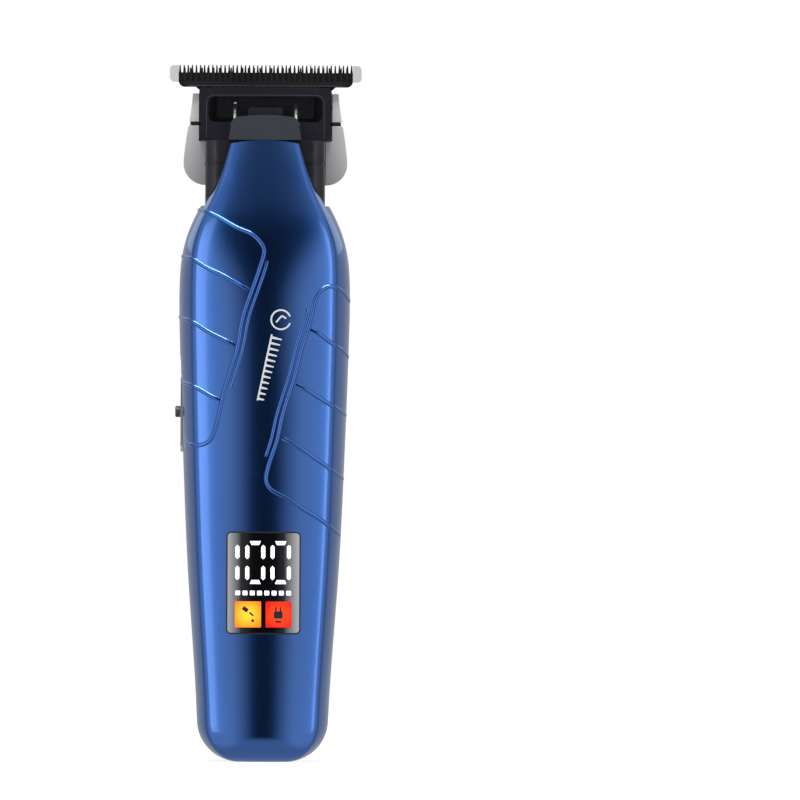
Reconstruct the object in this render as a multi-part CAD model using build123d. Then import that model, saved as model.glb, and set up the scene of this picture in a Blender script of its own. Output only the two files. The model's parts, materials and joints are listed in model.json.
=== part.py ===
from build123d import *
import os

os.makedirs("parts", exist_ok=True)

# Hand-held T-blade hair clipper. Millimetres. It stands upright on its flat base: +Z is up,
# the display faces -Y and the slide switch is on the -X side. The origin is the base centre.

# Outer body: height, half width, half width of the front face, depth forward, depth back
BODY_STATIONS = [
    (0.0, 7.0, 5.6, 6.5, 6.5),
    (1.2, 10.2, 8.5, 8.9, 8.9),
    (3.4, 12.9, 10.8, 10.9, 10.9),
    (7.0, 14.4, 12.1, 12.4, 12.4),
    (15.0, 15.3, 12.9, 13.5, 13.4),
    (30.0, 16.45, 13.8, 14.3, 14.2),
    (60.0, 18.05, 15.2, 15.2, 15.1),
    (85.0, 19.15, 16.2, 15.8, 15.8),
    (108.0, 19.6, 16.7, 16.0, 16.0),
    (115.0, 19.2, 16.5, 15.8, 15.8),
    (121.0, 17.7, 15.3, 15.2, 15.0),
    (125.0, 15.8, 13.7, 14.6, 14.2),
    (129.0, 13.6, 11.9, 14.2, 13.2),
    (134.0, 11.1, 9.9, 13.4, 12.0),
    (142.4, 8.5, 7.8, 12.2, 10.4),
]
CAVITY_HEIGHTS = (2.4, 4.5, 8.0, 15.0, 30.0, 60.0, 85.0, 108.0, 115.0, 121.0, 125.6)
FRONT_SAG = 0.132  # rise of the front face per millimetre of its half width
CREASE_RADIUS = 1.3
WALL = 1.8
SEAM_Y = 3.6
BODY_TOP = 127.4
TONGUE_TOP = 142.4
BODY_LIMIT = 150.0
RIB_WIDTH = 0.75
RIB_HEIGHT = 0.32
RIB_ROOT = 0.5
RIB_BACK = 0.5
RIB_LOW = 45.0
RIB_HIGH = 130.0
FIT = 0.1
CLEAR = 25.0  # reach of the cutting blocks, beyond the clipper on every side

# Neck housing
NECK_HALF = 13.7
NECK_FRONT = -8.0
NECK_BACK = 7.0
NECK_BOTTOM = 121.0
NECK_TOP = 142.4
NECK_WALL = 1.6
NECK_CORNER = 3.0

# Head
CARRIER_HALF = 15.2
CARRIER_TOP = 154.5
CARRIER_FRONT = -5.2
CARRIER_WINDOW_HALF = 13.05
CARRIER_WINDOW_TOP = 152.4
CARRIER_SILL = 146.6
BLADE_PLANE = 0.6
FIXED_THICK = 1.4
MOVING_THICK = 1.3
BLADE_GAP = 0.05
MOVING_FRONT = BLADE_PLANE - BLADE_GAP - MOVING_THICK
BLADE_BOTTOM = 154.8
FIXED_HALF = 20.0
FIXED_TIP = 159.8
FIXED_ROOT = 158.1
FIXED_TEETH = 43
MOVING_HALF = 19.0
MOVING_TIP = 159.2
MOVING_ROOT = 156.1
MOVING_TEETH = 29
GUARD_OUT = 22.0
GUARD_BOTTOM = 156.0
GUARD_TOP = 159.7

# Shield behind the neck: height, half width, depth back
SHIELD_STATIONS = [
    (132.4, 18.6, 14.0),
    (137.5, 18.8, 13.0),
    (146.4, 17.65, 9.6),
    (153.3, 16.75, 6.0),
]
SHIELD_EDGE_Y = 1.0
SHIELD_THICK = 1.4
FLANGE_UPPER = 15.3
FLANGE_LOWER = 13.8
FLANGE_STEP = 142.35
BASE_GAP = 0.08
SHIELD_GAP_LOW = 145.9
SHIELD_GAP_HIGH = 146.8

# Drive
DRIVE_Y = -2.5
STROKE = 0.9
PIN_RADIUS = 0.8
CAM_RADIUS = 2.5
CAM_BOTTOM = 142.7
CAM_TOP = 144.3
PIN_TOP = 148.6
MOTOR_RADIUS = 10.5
MOTOR_BOTTOM = 86.0
MOTOR_TOP = 117.0
MOTOR_Y = -2.5
END_CAP = 2.4
SHAFT_RADIUS = 1.0

# Power
BATTERY_RADIUS = 9.2
BATTERY_BOTTOM = 14.0
BATTERY_TOP = 79.0
BATTERY_Y = 2.0
BOARD_FRONT = -9.4
BOARD_THICK = 1.2
BOARD_HALF = 9.0
BOARD_BOTTOM = 16.0
BOARD_TOP = 78.0
CHIPS = ((-4.0, 62.0, 5, 5), (3.5, 66.0, 3, 4), (2.5, 24.0, 4, 4), (-5.0, 22.0, 3, 2))  # x, z, w, h
CHIP_THICK = 1.0
MODULE_HALF = 7.8
MODULE_FRONT = -12.0
MODULE_BOTTOM = 30.0
MODULE_TOP = 51.8
CRADLE_FRONT = -8.15
CRADLE_BACK = 7.0
CRADLE_HALF = 9.5
CRADLE_BOTTOM = 9.0
CRADLE_TOP = 80.6
CRADLE_SPINE = 0.8
CRADLE_SPINE_TOP = 82.0
WIRE_SLOTS = ((11.0, 15.0), (78.0, 84.0))
WIRE_SLOT_HALF = 3.2
WIRE_SLOT_BACK = -6.3
TAB_HALF = 3.0
TAB_FRONT = -6.5
TAB_THICK = 0.25
TAB_ROOM = 0.3
PORT_HALF_X = 4.17
PORT_HALF_Y = 1.28

# Fastenings
SCREW_RADIUS = 0.9
SCREW_GAP = 0.03
SCREW_HEAD = 1.8
SCREW_TIP_Y = 3.0
SCREW_SEAT_Y = 9.2
BLADE_SCREW_X = 9.5
BLADE_SCREW_Z = 144.8
HEAD_SCREWS_X = (-5.8, 5.8)
HEAD_SCREW_Y = 3.4
BUSH_RADIUS = 3.0
DRIVE_BAY = 5.3
YOKE_FRONT = -4.9
SPRING_WIRE = 0.36
CAP_BOTTOM = 142.45
SHIELD_CORNER = 4.8
GASKET_INSET = 0.35
GASKET_BORE = 1.2

# Display
DIGIT_WIDTH = 4.5
DIGIT_LOW = 40.6
DIGIT_HIGH = 50.6
DIGIT_STROKE = 1.1
DIGIT_NOTCH = 0.9
DIGIT_GAP = 0.35
DIGIT_CUT = 0.6
LAMP_LOW = 30.7
LAMP_HIGH = 36.7
GAUGE_LEFT = -6.3
GAUGE_PITCH = 1.62
GAUGE_BARS = 8
WINDOW_HALF_X = 8.4
WINDOW_BOTTOM = 29.3
WINDOW_TOP = 52.5
WINDOW_CORNER = 1.0
WINDOW_THICK = 1.3
WINDOW_GAP = 0.03
PRINT_LIFT = 0.06

# Slide switch
SWITCH_Y = 0.2
RECESS_BOTTOM = 70.6
RECESS_TOP = 93.0
RECESS_HALF_Y = 2.75
PLATE_BOTTOM = 71.0
PLATE_TOP = 89.0
PLATE_HALF_Y = 2.4
PLATE_BACK = -17.9
KNOB_Z = 80.2
KNOB_RADIUS = 1.3
SWITCH_TRAVEL = 3.5
SLIDE_OUT = -15.6
SLIDE_BACK = -12.6
SLIDE_HALF = 2.2

# Charging socket: wall, lift above the foot, length, and its seal
SOCKET_WALL = 0.3
SOCKET_LIFT = 0.6
SOCKET_LENGTH = 6.4
SEAL_WALL = 0.65


def block(x0, x1, y0, y1, z0, z1):
    """Box between two corners."""
    return Pos((x0 + x1) / 2, (y0 + y1) / 2, (z0 + z1) / 2) * Box(x1 - x0, y1 - y0, z1 - z0)


def rod(x, y, z0, z1, radius):
    """Upright cylinder."""
    return Pos(x, y, (z0 + z1) / 2) * Cylinder(radius, z1 - z0)


def rod_y(x, z, y0, y1, radius):
    """Cylinder along Y."""
    return Pos(x, (y0 + y1) / 2, z) * Rot(90, 0, 0) * Cylinder(radius, y1 - y0)


def rod_x(y, z, x0, x1, radius):
    """Cylinder along X."""
    return Pos((x0 + x1) / 2, y, z) * Rot(0, 90, 0) * Cylinder(radius, x1 - x0)


def front_prism(sketch, y0, y1):
    """Sketch drawn as (x, z), extruded from y0 to y1."""
    return Pos(0, y1, 0) * extrude(Plane.XZ * sketch, y1 - y0)


def rounded_rect(x0, x1, z0, z1, radius):
    return Pos((x0 + x1) / 2, (z0 + z1) / 2) * RectangleRounded(x1 - x0, z1 - z0, radius)


def body_size(z):
    """Half width, front face half width, front depth and back depth at a height."""
    for low, high in zip(BODY_STATIONS, BODY_STATIONS[1:]):
        if z <= high[0]:
            part = (z - low[0]) / (high[0] - low[0])
            return [a + part * (b - a) for a, b in zip(low[1:], high[1:])]
    return list(BODY_STATIONS[-1][1:])


def body_section(z, inset):
    """Closed section of the body: gently bowed front, two soft creases, rounded back."""
    wide, crease, front, back = [size - inset for size in body_size(z)]
    crease_y = -(front - FRONT_SAG * crease)
    inner = (crease - CREASE_RADIUS, crease_y - 0.28 * CREASE_RADIUS)
    outer_end = (crease + 0.42 * (wide - crease), 0.85 * crease_y)
    corner = (crease - 0.02, crease_y + 0.12)
    side = (wide - 0.17 * (wide - crease), 0.42 * crease_y)
    rear = (0.76 * wide, 0.74 * back)

    def left(point):
        return (-point[0], point[1])

    edges = [
        ThreePointArc(left(inner), (0, -front), inner),
        ThreePointArc(inner, corner, outer_end),
        ThreePointArc(outer_end, side, (wide, 0)),
        Spline((wide, 0), rear, (0, back), tangents=[(0, 1), (-1, 0)]),
        Spline((0, back), left(rear), (-wide, 0), tangents=[(-1, 0), (0, -1)]),
        ThreePointArc((-wide, 0), left(side), left(outer_end)),
        ThreePointArc(left(outer_end), left(corner), left(inner)),
    ]
    return Pos(0, 0, z) * Face(Wire(edges))


def body_solid(inset, heights):
    return Part() + Solid.make_loft([body_section(z, inset).outer_wire() for z in heights])


HEIGHTS = [station[0] for station in BODY_STATIONS]
FOOT_HEIGHTS = HEIGHTS[:4]
MAIN_HEIGHTS = HEIGHTS[3:]
outer = body_solid(0, FOOT_HEIGHTS) + body_solid(0, MAIN_HEIGHTS)
cavity = body_solid(WALL, CAVITY_HEIGHTS)

# Left and right rib outlines as (x, z) on the front face: a long loop and three cross ribs
LEFT_LOOP = [
    (-19.5, 126.5), (-13.2, 126.0), (-9.6, 124.2), (-5.8, 122.1), (-2.8, 120.8), (-0.6, 118.6),
    (0.0, 117.2), (-0.7, 114.0), (-2.8, 107.8), (-5.0, 101.1), (-6.0, 95.0), (-8.6, 86.4),
    (-10.2, 79.5), (-11.2, 75.6), (-12.6, 73.3), (-15.0, 72.5), (-16.9, 72.8), (-18.4, 74.4),
]
LEFT_CROSS = [
    [(-20.0, 115.6), (-16.6, 115.2), (-13.8, 113.5), (-9.6, 111.5), (-5.7, 109.3), (-3.2, 108.0)],
    [(-20.0, 101.8), (-16.3, 100.7), (-13.4, 98.9), (-9.3, 96.8), (-6.4, 95.3)],
    [(-19.6, 87.4), (-15.0, 85.5), (-12.2, 83.9), (-9.9, 82.8)],
]
RIGHT_LOOP = [
    (19.6, 105.6), (18.3, 107.3), (16.9, 108.5), (14.9, 109.0), (13.2, 108.2), (12.2, 107.0),
    (11.5, 105.0), (10.3, 100.0), (9.0, 95.9), (7.2, 88.8), (5.8, 84.3), (4.1, 78.4),
    (3.2, 74.0), (1.5, 68.8), (0.8, 66.1), (0.7, 64.5), (1.5, 62.8), (2.9, 61.8),
    (6.0, 60.2), (9.1, 58.1), (12.2, 56.3), (16.5, 53.2), (18.5, 51.4),
]
RIGHT_CROSS = [
    [(10.2, 99.3), (12.8, 98.0), (15.2, 96.2), (18.3, 94.1), (20.0, 91.5)],
    [(7.0, 86.7), (9.9, 85.3), (13.2, 83.2), (16.5, 81.2), (19.8, 78.6)],
    [(3.8, 74.5), (7.0, 72.9), (11.1, 70.2), (14.8, 67.6), (19.2, 63.8)],
]


def rib_solids():
    """Ribs of constant width and height that follow the skin."""
    lines = [Spline(*points) for points in [LEFT_LOOP, RIGHT_LOOP] + LEFT_CROSS + RIGHT_CROSS]
    outlines = Sketch() + [trace(line, RIB_WIDTH) for line in lines]
    prisms = front_prism(outlines, -CLEAR, RIB_BACK)
    zone = block(-CLEAR, CLEAR, -CLEAR, RIB_BACK, RIB_LOW, RIB_HIGH)
    raised = body_solid(-RIB_HEIGHT, MAIN_HEIGHTS) & zone
    return (raised & prisms) - body_solid(RIB_ROOT, MAIN_HEIGHTS)


def switch_hole(grow):
    return front_box_x(-22, -16.4, RECESS_HALF_Y + grow, RECESS_BOTTOM - grow, RECESS_TOP + grow)


def front_box_x(x0, x1, half_y, z0, z1):
    """Box with rounded ends, drawn on the -X side of the body around the switch centre line."""
    outline = Pos(0, (z0 + z1) / 2) * RectangleRounded(2 * half_y, z1 - z0, min(half_y, 1.6) * 0.8)
    return Pos(x0, SWITCH_Y, 0) * extrude(Plane.YZ * outline, x1 - x0)


def window_prism(grow, y0=-20, y1=-9):
    return front_prism(
        rounded_rect(-WINDOW_HALF_X - grow, WINDOW_HALF_X + grow, WINDOW_BOTTOM - grow,
                     WINDOW_TOP + grow, WINDOW_CORNER + grow), y0, y1)


def neck_block(grow, z0, z1):
    outline = RectangleRounded(2 * (NECK_HALF + grow), NECK_BACK - NECK_FRONT + 2 * grow,
                               NECK_CORNER + grow)
    return Pos(0, (NECK_FRONT + NECK_BACK) / 2, z0) * extrude(outline, z1 - z0)


def case_shell():
    """The whole hollow case, before it is parted at the seam."""
    case = outer - cavity
    case -= neck_block(FIT, NECK_BOTTOM, TONGUE_TOP + 1)
    case -= block(-CLEAR, CLEAR, NECK_FRONT - FIT, CLEAR, BODY_TOP, TONGUE_TOP + 1)
    case -= block(-PORT_HALF_X - 1, PORT_HALF_X + 1, -PORT_HALF_Y - 1, PORT_HALF_Y + 1, -1, 5)
    return case


CASE_SCREWS = [(-6.5, 10.6), (6.5, 10.6), (-8.0, 124.2), (8.0, 124.2)]


def front_shell(case):
    shell = case & block(-CLEAR, CLEAR, -CLEAR, SEAM_Y, -1, BODY_LIMIT)
    shell += rib_solids()
    shell -= window_prism(0)
    shell -= switch_hole(0)
    return shell


def rear_shell(case):
    shell = case & block(-CLEAR, CLEAR, SEAM_Y, CLEAR, -1, BODY_LIMIT)
    for x, z in CASE_SCREWS:
        shell -= rod_y(x, z, 5, 25, SCREW_RADIUS + SCREW_GAP)
        shell -= rod_y(x, z, SCREW_SEAT_Y, 25, SCREW_HEAD + FIT)
    return shell


def case_screw(x, z):
    """Screw from the back, its head sunk below the skin."""
    screw = rod_y(x, z, SCREW_TIP_Y, SCREW_SEAT_Y, SCREW_RADIUS)
    head = rod_y(x, z, SCREW_SEAT_Y, SCREW_SEAT_Y + 1.2, SCREW_HEAD)
    cross = rod_y(x, z, SCREW_SEAT_Y + 0.6, SCREW_SEAT_Y + 2, 0.8)
    return screw + head - cross


def neck_housing():
    """Black column between the case and the head, open below for the motor shaft."""
    neck = neck_block(0, NECK_BOTTOM, NECK_TOP)
    hollow = neck_block(-NECK_WALL, NECK_BOTTOM - 1, NECK_TOP - NECK_WALL)
    lug = block(-12.5, 12.5, NECK_BACK - NECK_WALL, 16, 133.0, NECK_TOP - 0.1) & shield_core(BASE_GAP)
    neck = neck - hollow + lug
    neck -= rod(0, DRIVE_Y, NECK_TOP - 3, NECK_TOP + 1, BUSH_RADIUS)
    for x in HEAD_SCREWS_X:
        neck -= rod(x, HEAD_SCREW_Y, NECK_TOP - 3, NECK_TOP + 1, SCREW_RADIUS + SCREW_GAP)
    for x, z in CASE_SCREWS[2:]:
        neck -= rod_y(x, z, 2, 16, SCREW_RADIUS + SCREW_GAP)
    line = neck_block(1, 136.8, 137.2) - neck_block(-0.25, 136, 138)
    return neck - line


def shield_section(z, inset):
    """Half-moon section of the shield, closed by a straight front edge."""
    for low, high in zip(SHIELD_STATIONS, SHIELD_STATIONS[1:]):
        if z <= high[0] + 0.01:
            part = (z - low[0]) / (high[0] - low[0])
            wide, deep = [a + part * (b - a) for a, b in zip(low[1:], high[1:])]
            break
    wide, deep = wide - inset, deep - inset
    shoulder = (0.82 * wide, SHIELD_EDGE_Y + 0.6 * (deep - SHIELD_EDGE_Y))
    edges = [
        Spline((wide, SHIELD_EDGE_Y), shoulder, (0, deep), tangents=[(0, 1), (-1, 0)]),
        Spline((0, deep), (-shoulder[0], shoulder[1]), (-wide, SHIELD_EDGE_Y),
               tangents=[(-1, 0), (0, -1)]),
        Line((-wide, SHIELD_EDGE_Y), (wide, SHIELD_EDGE_Y)),
    ]
    return (Pos(0, 0, z) * Face(Wire(edges))).outer_wire()


def shield_body(inset):
    return Part() + Solid.make_loft([shield_section(row[0], inset) for row in SHIELD_STATIONS])


def shield_core(gap):
    """The space inside the shield, less a small gap, leaving a flat flange at each side."""
    upper = block(-FLANGE_UPPER + gap, FLANGE_UPPER - gap, -5, 25, FLANGE_STEP, 160)
    lower = block(-FLANGE_LOWER + gap, FLANGE_LOWER - gap, -5, 25, 130, FLANGE_STEP)
    return shield_body(SHIELD_THICK + gap) & (upper + lower)


def shield_shell():
    """Chrome shield with rounded lower corners, before the gap parts it in two."""
    outline = front_prism(rounded_rect(-18.8, 18.8, SHIELD_STATIONS[0][0], 160, SHIELD_CORNER),
                          -2, 20)
    shell = shield_body(0) - Pos(0, -0.02, 0) * shield_core(0)
    return shell & outline


def shield_gasket():
    """Black strip that fills the gap, a little inside the chrome."""
    rows = (SHIELD_GAP_LOW, SHIELD_GAP_HIGH)
    strip = Part() + Solid.make_loft([shield_section(z, GASKET_INSET) for z in rows])
    inner = Part() + Solid.make_loft([shield_section(z + s, GASKET_BORE)
                                      for z, s in zip(rows, (-0.5, 0.5))])
    inner = Pos(0, -0.02, 0) * inner & block(-FLANGE_UPPER, FLANGE_UPPER, -5, 25, 140, 150)
    return strip - inner


def head_carrier():
    """Black frame that holds the blades; its window shows the moving blade and the spring."""
    frame = block(-CARRIER_HALF, CARRIER_HALF, CARRIER_FRONT, BLADE_PLANE, NECK_TOP + 0.02,
                  CARRIER_TOP)
    frame = fillet(frame.edges().filter_by(Axis.Y), 1.0)
    window = rounded_rect(-CARRIER_WINDOW_HALF, CARRIER_WINDOW_HALF, CARRIER_SILL,
                          CARRIER_WINDOW_TOP, 1.5)
    frame -= front_prism(window, -8, 2)
    frame -= block(-CARRIER_WINDOW_HALF, CARRIER_WINDOW_HALF, MOVING_FRONT - 0.12, 2, CARRIER_SILL,
                   CARRIER_TOP + 1)
    frame -= block(-DRIVE_BAY, DRIVE_BAY, -8, 2, NECK_TOP - 1, CARRIER_SILL + 1)
    for side in (-1, 1):
        for z, tall in ((150.0, 0.5), (146.2, 0.5)):
            frame -= block(side * CARRIER_HALF - 0.4, side * CARRIER_HALF + 0.4, -8, 2, z - tall / 2,
                           z + tall / 2)
        frame -= block(min(side * 13.2, side * 14.6), max(side * 13.2, side * 14.6),
                       CARRIER_FRONT - 1, CARRIER_FRONT + 0.25, 143.9, 144.2)
        frame -= rod_x(CARRIER_FRONT - 0.1, CARRIER_SILL + 0.1, min(side * 4, side * 8),
                       max(side * 4, side * 8), 1.0)
        frame -= rod_y(side * BLADE_SCREW_X, BLADE_SCREW_Z, -4.6, 2, SCREW_RADIUS + SCREW_GAP)
    return frame


def comb_teeth(half, count, root, tip, y0, y1, width):
    """A row of tapered teeth."""
    pitch = 2 * (half - width / 2) / (count - 1)
    tooth = Polygon((-width / 2, root - 0.5), (width / 2, root - 0.5), (width * 0.42, root),
                    (width * 0.2, tip), (-width * 0.2, tip), (-width * 0.42, root), align=None)
    row = Sketch() + [Pos((i - (count - 1) / 2) * pitch, 0) * tooth for i in range(count)]
    return front_prism(row, y0, y1)


def blade_outline(half, root, stem, bottom):
    """T shape with rounded lower corners and hollow fillets into the stem."""
    head = rounded_rect(-half, half, BLADE_BOTTOM, root + 2, 1.4) & Rectangle(
        3 * half, 2 * root, align=(Align.CENTER, Align.MAX)).moved(Location((0, root)))
    foot = rounded_rect(-stem, stem, bottom, BLADE_BOTTOM + 0.6, 0.5)
    flare = Polygon((-stem, BLADE_BOTTOM - 1.0), (stem, BLADE_BOTTOM - 1.0),
                    (stem + 1.3, BLADE_BOTTOM + 0.1), (-stem - 1.3, BLADE_BOTTOM + 0.1), align=None)
    return head + foot + flare


def fixed_blade():
    blade = front_prism(blade_outline(FIXED_HALF, FIXED_ROOT, 14.9, 143.2), BLADE_PLANE,
                        BLADE_PLANE + FIXED_THICK)
    blade += comb_teeth(FIXED_HALF, FIXED_TEETH, FIXED_ROOT, FIXED_TIP, BLADE_PLANE,
                        BLADE_PLANE + FIXED_THICK * 0.5, 0.62)
    blade -= block(-30, 30, BLADE_PLANE + FIXED_THICK * 0.5, 3, FIXED_ROOT - 0.6, FIXED_TIP + 1)
    for side in (-1, 1):
        blade -= rod_y(side * BLADE_SCREW_X, BLADE_SCREW_Z, 0, 3, SCREW_RADIUS + SCREW_GAP)
    return blade


def moving_blade():
    blade = front_prism(blade_outline(MOVING_HALF, MOVING_ROOT, 11.2, 147.6), MOVING_FRONT,
                        MOVING_FRONT + MOVING_THICK)
    blade += comb_teeth(MOVING_HALF, MOVING_TEETH, MOVING_ROOT, MOVING_TIP,
                        MOVING_FRONT + MOVING_THICK * 0.45, MOVING_FRONT + MOVING_THICK, 0.8)
    blade -= rod_y(0, 153.0, MOVING_FRONT - 1, MOVING_FRONT + 0.4, 0.7)
    return blade


def blade_follower():
    """Plastic yoke on the moving blade; the eccentric pin runs in its slot."""
    yoke = block(-4.0, 4.0, YOKE_FRONT, MOVING_FRONT, 145.3, 150.0)
    yoke = fillet(yoke.edges().filter_by(Axis.Y), 0.8)
    slot_half = PIN_RADIUS + 0.22 * STROKE + 0.05
    yoke -= block(-slot_half, slot_half, DRIVE_Y - PIN_RADIUS - STROKE - 0.15, 1, 140, 149.0)
    for x in (-2.8, 2.8):
        yoke += rod_y(x, 148.6, YOKE_FRONT - 0.5, YOKE_FRONT + 0.2, 0.5)
    return yoke


def end_guard(side):
    guard = block(min(side * FIXED_HALF, side * GUARD_OUT), max(side * FIXED_HALF, side * GUARD_OUT),
                  -0.9, 2.1, GUARD_BOTTOM, GUARD_TOP)
    outside = [e for e in guard.edges().filter_by(Axis.Y) if abs(e.center().X) > FIXED_HALF + 1]
    return fillet(outside, 0.95)


def blade_spring():
    """Bent wire: a cross bar in the carrier's grooves and two legs that press on the blade."""
    z0 = CARRIER_SILL + 0.1
    y0 = CARRIER_FRONT - 0.1
    tip_y = MOVING_FRONT - SPRING_WIRE - 0.05
    bar = Polyline((-7, tip_y, 151.0), (-7, y0, 148.2), (-7, y0, z0), (7, y0, z0), (7, y0, 148.2),
                   (7, tip_y, 151.0))
    start = Plane(origin=(-7, tip_y, 151.0), z_dir=(0, y0 - tip_y, 148.2 - 151.0))
    wire = sweep(start * Circle(SPRING_WIRE), bar, transition=Transition.RIGHT)
    ball = Pos(-7, tip_y - 0.15, 151.1) * Sphere(0.52)
    return wire + ball


def neck_cap():
    """Slate cap over the drive, with an arched top."""
    arch = make_face([
        Line((-8.35, CAP_BOTTOM), (8.35, CAP_BOTTOM)), Line((8.35, CAP_BOTTOM), (7.65, 146.6)),
        ThreePointArc((7.65, 146.6), (6.9, 147.5), (5.6, 147.8)),
        ThreePointArc((5.6, 147.8), (0, 148.2), (-5.6, 147.8)),
        ThreePointArc((-5.6, 147.8), (-6.9, 147.5), (-7.65, 146.6)),
        Line((-7.65, 146.6), (-8.35, CAP_BOTTOM)),
    ])
    cap = front_prism(arch, -13, CARRIER_FRONT - 0.6)
    slope = Polygon((-14, CAP_BOTTOM - 1), (-12.0, CAP_BOTTOM - 1), (-12.0, CAP_BOTTOM),
                    (-9.6, 149), (-14, 149), align=None)
    cap -= extrude(Plane.YZ * slope, 20, both=True)
    cap -= block(-6.8, 6.8, -9.0, -4, CAP_BOTTOM - 1, 146.4)
    return cap


def head_base():
    """Block behind the fixed blade that joins the head to the neck and holds the shield."""
    base = block(-14.8, 14.8, BLADE_PLANE + FIXED_THICK + 0.02, 12, NECK_TOP + 0.02, 152.6)
    base &= shield_core(BASE_GAP)
    for x in HEAD_SCREWS_X:
        base -= rod(x, HEAD_SCREW_Y, NECK_TOP - 1, 147.4, SCREW_RADIUS + SCREW_GAP)
    for side in (-1, 1):
        base -= rod_y(side * BLADE_SCREW_X, BLADE_SCREW_Z, 0, 3.4, SCREW_HEAD + FIT)
    return base


def blade_screw(side):
    x, z, seat = side * BLADE_SCREW_X, BLADE_SCREW_Z, BLADE_PLANE + FIXED_THICK
    screw = rod_y(x, z, -4.2, seat, SCREW_RADIUS) + rod_y(x, z, seat, seat + 1.2, SCREW_HEAD)
    return screw - rod_y(x, z, seat + 0.6, seat + 3, 0.8)


def head_screw(x):
    seat = NECK_TOP - NECK_WALL
    screw = rod(x, HEAD_SCREW_Y, seat, 147.0, SCREW_RADIUS)
    screw += rod(x, HEAD_SCREW_Y, seat - 1.2, seat, SCREW_HEAD)
    return screw - rod(x, HEAD_SCREW_Y, seat - 2, seat - 0.6, 0.8)


def motor_can():
    can = rod(0, MOTOR_Y, MOTOR_BOTTOM, MOTOR_TOP, MOTOR_RADIUS)
    can = fillet(can.edges(), 0.8)
    flats = block(-20, -MOTOR_RADIUS + 0.9, -20, 20, MOTOR_BOTTOM + 3, MOTOR_TOP - 3)
    can -= flats
    can -= mirror(flats, Plane.YZ)
    return can - rod(0, MOTOR_Y, MOTOR_TOP - 6, MOTOR_TOP + 1, SHAFT_RADIUS + 0.4)


def motor_end_cap():
    return rod(0, MOTOR_Y, MOTOR_BOTTOM - END_CAP, MOTOR_BOTTOM, MOTOR_RADIUS - 0.8)


def motor_terminals():
    return [block(x - 0.9, x + 0.9, MOTOR_Y - 0.2, MOTOR_Y + 0.2, MOTOR_BOTTOM - 4.6,
                  MOTOR_BOTTOM - END_CAP) for x in (-5.5, 5.5)]


def motor_bracket():
    plate = rod(0, MOTOR_Y, MOTOR_TOP, NECK_BOTTOM, MOTOR_RADIUS + 0.15)
    return plate - rod(0, MOTOR_Y, MOTOR_TOP - 1, NECK_BOTTOM + 1, 3.0)


def motor_damper():
    ring = rod(0, MOTOR_Y, MOTOR_BOTTOM + 4, MOTOR_BOTTOM + 9, MOTOR_RADIUS + 0.8)
    return ring - rod(0, MOTOR_Y, MOTOR_BOTTOM, MOTOR_BOTTOM + 20, MOTOR_RADIUS + 0.02)


def shaft_bushing():
    bush = rod(0, DRIVE_Y, NECK_TOP - NECK_WALL - 1.4, NECK_TOP, BUSH_RADIUS - 0.02)
    return bush - rod(0, DRIVE_Y, 130, 150, SHAFT_RADIUS + 0.05)


def motor_shaft():
    return rod(0, DRIVE_Y, MOTOR_TOP - 5, CAM_BOTTOM, SHAFT_RADIUS)


def eccentric_cam():
    """Disc on the shaft with its pin forward of the axis at rest."""
    cam = rod(0, DRIVE_Y, CAM_BOTTOM, CAM_TOP, CAM_RADIUS)
    return cam + rod(0, DRIVE_Y - STROKE, CAM_TOP - 0.2, PIN_TOP, PIN_RADIUS)


def battery():
    cell = rod(0, BATTERY_Y, BATTERY_BOTTOM, BATTERY_TOP, BATTERY_RADIUS)
    return fillet(cell.edges(), 0.7)


def battery_tab(z0, z1):
    return block(-TAB_HALF, TAB_HALF, TAB_FRONT, CRADLE_BACK, z0, z1)


def battery_cradle():
    """Plastic tray: a spine in front of the cell and a wall at each end of it."""
    spine = block(-CRADLE_HALF, CRADLE_HALF, CRADLE_FRONT, CRADLE_FRONT + CRADLE_SPINE,
                  CRADLE_BOTTOM, CRADLE_SPINE_TOP)
    low = block(-CRADLE_HALF, CRADLE_HALF, CRADLE_FRONT, CRADLE_BACK, CRADLE_BOTTOM,
                BATTERY_BOTTOM - TAB_ROOM)
    high = block(-CRADLE_HALF, CRADLE_HALF, CRADLE_FRONT, CRADLE_BACK, BATTERY_TOP + TAB_ROOM,
                 CRADLE_TOP)
    cradle = spine + low + high
    for x, z in CASE_SCREWS[:2]:
        cradle -= rod_y(x, z, 0, 9, SCREW_RADIUS + SCREW_GAP)
    for z0, z1 in WIRE_SLOTS:
        cradle -= block(-WIRE_SLOT_HALF, WIRE_SLOT_HALF, CRADLE_FRONT - 1, WIRE_SLOT_BACK, z0, z1)
    return cradle


def main_board():
    return block(-BOARD_HALF, BOARD_HALF, BOARD_FRONT, BOARD_FRONT + BOARD_THICK, BOARD_BOTTOM,
                 BOARD_TOP)


def board_chips():
    return [block(x - w / 2, x + w / 2, BOARD_FRONT - CHIP_THICK, BOARD_FRONT, z - h / 2, z + h / 2)
            for x, z, w, h in CHIPS]


def display_module():
    return block(-MODULE_HALF, MODULE_HALF, MODULE_FRONT, BOARD_FRONT, MODULE_BOTTOM, MODULE_TOP)


def display_window():
    pane = body_solid(0, MAIN_HEIGHTS) & window_prism(-WINDOW_GAP)
    return pane - body_solid(WINDOW_THICK, MAIN_HEIGHTS)


def bar(x0, x1, z0, z1):
    return rounded_rect(x0, x1, z0, z1, 0.3)


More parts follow.
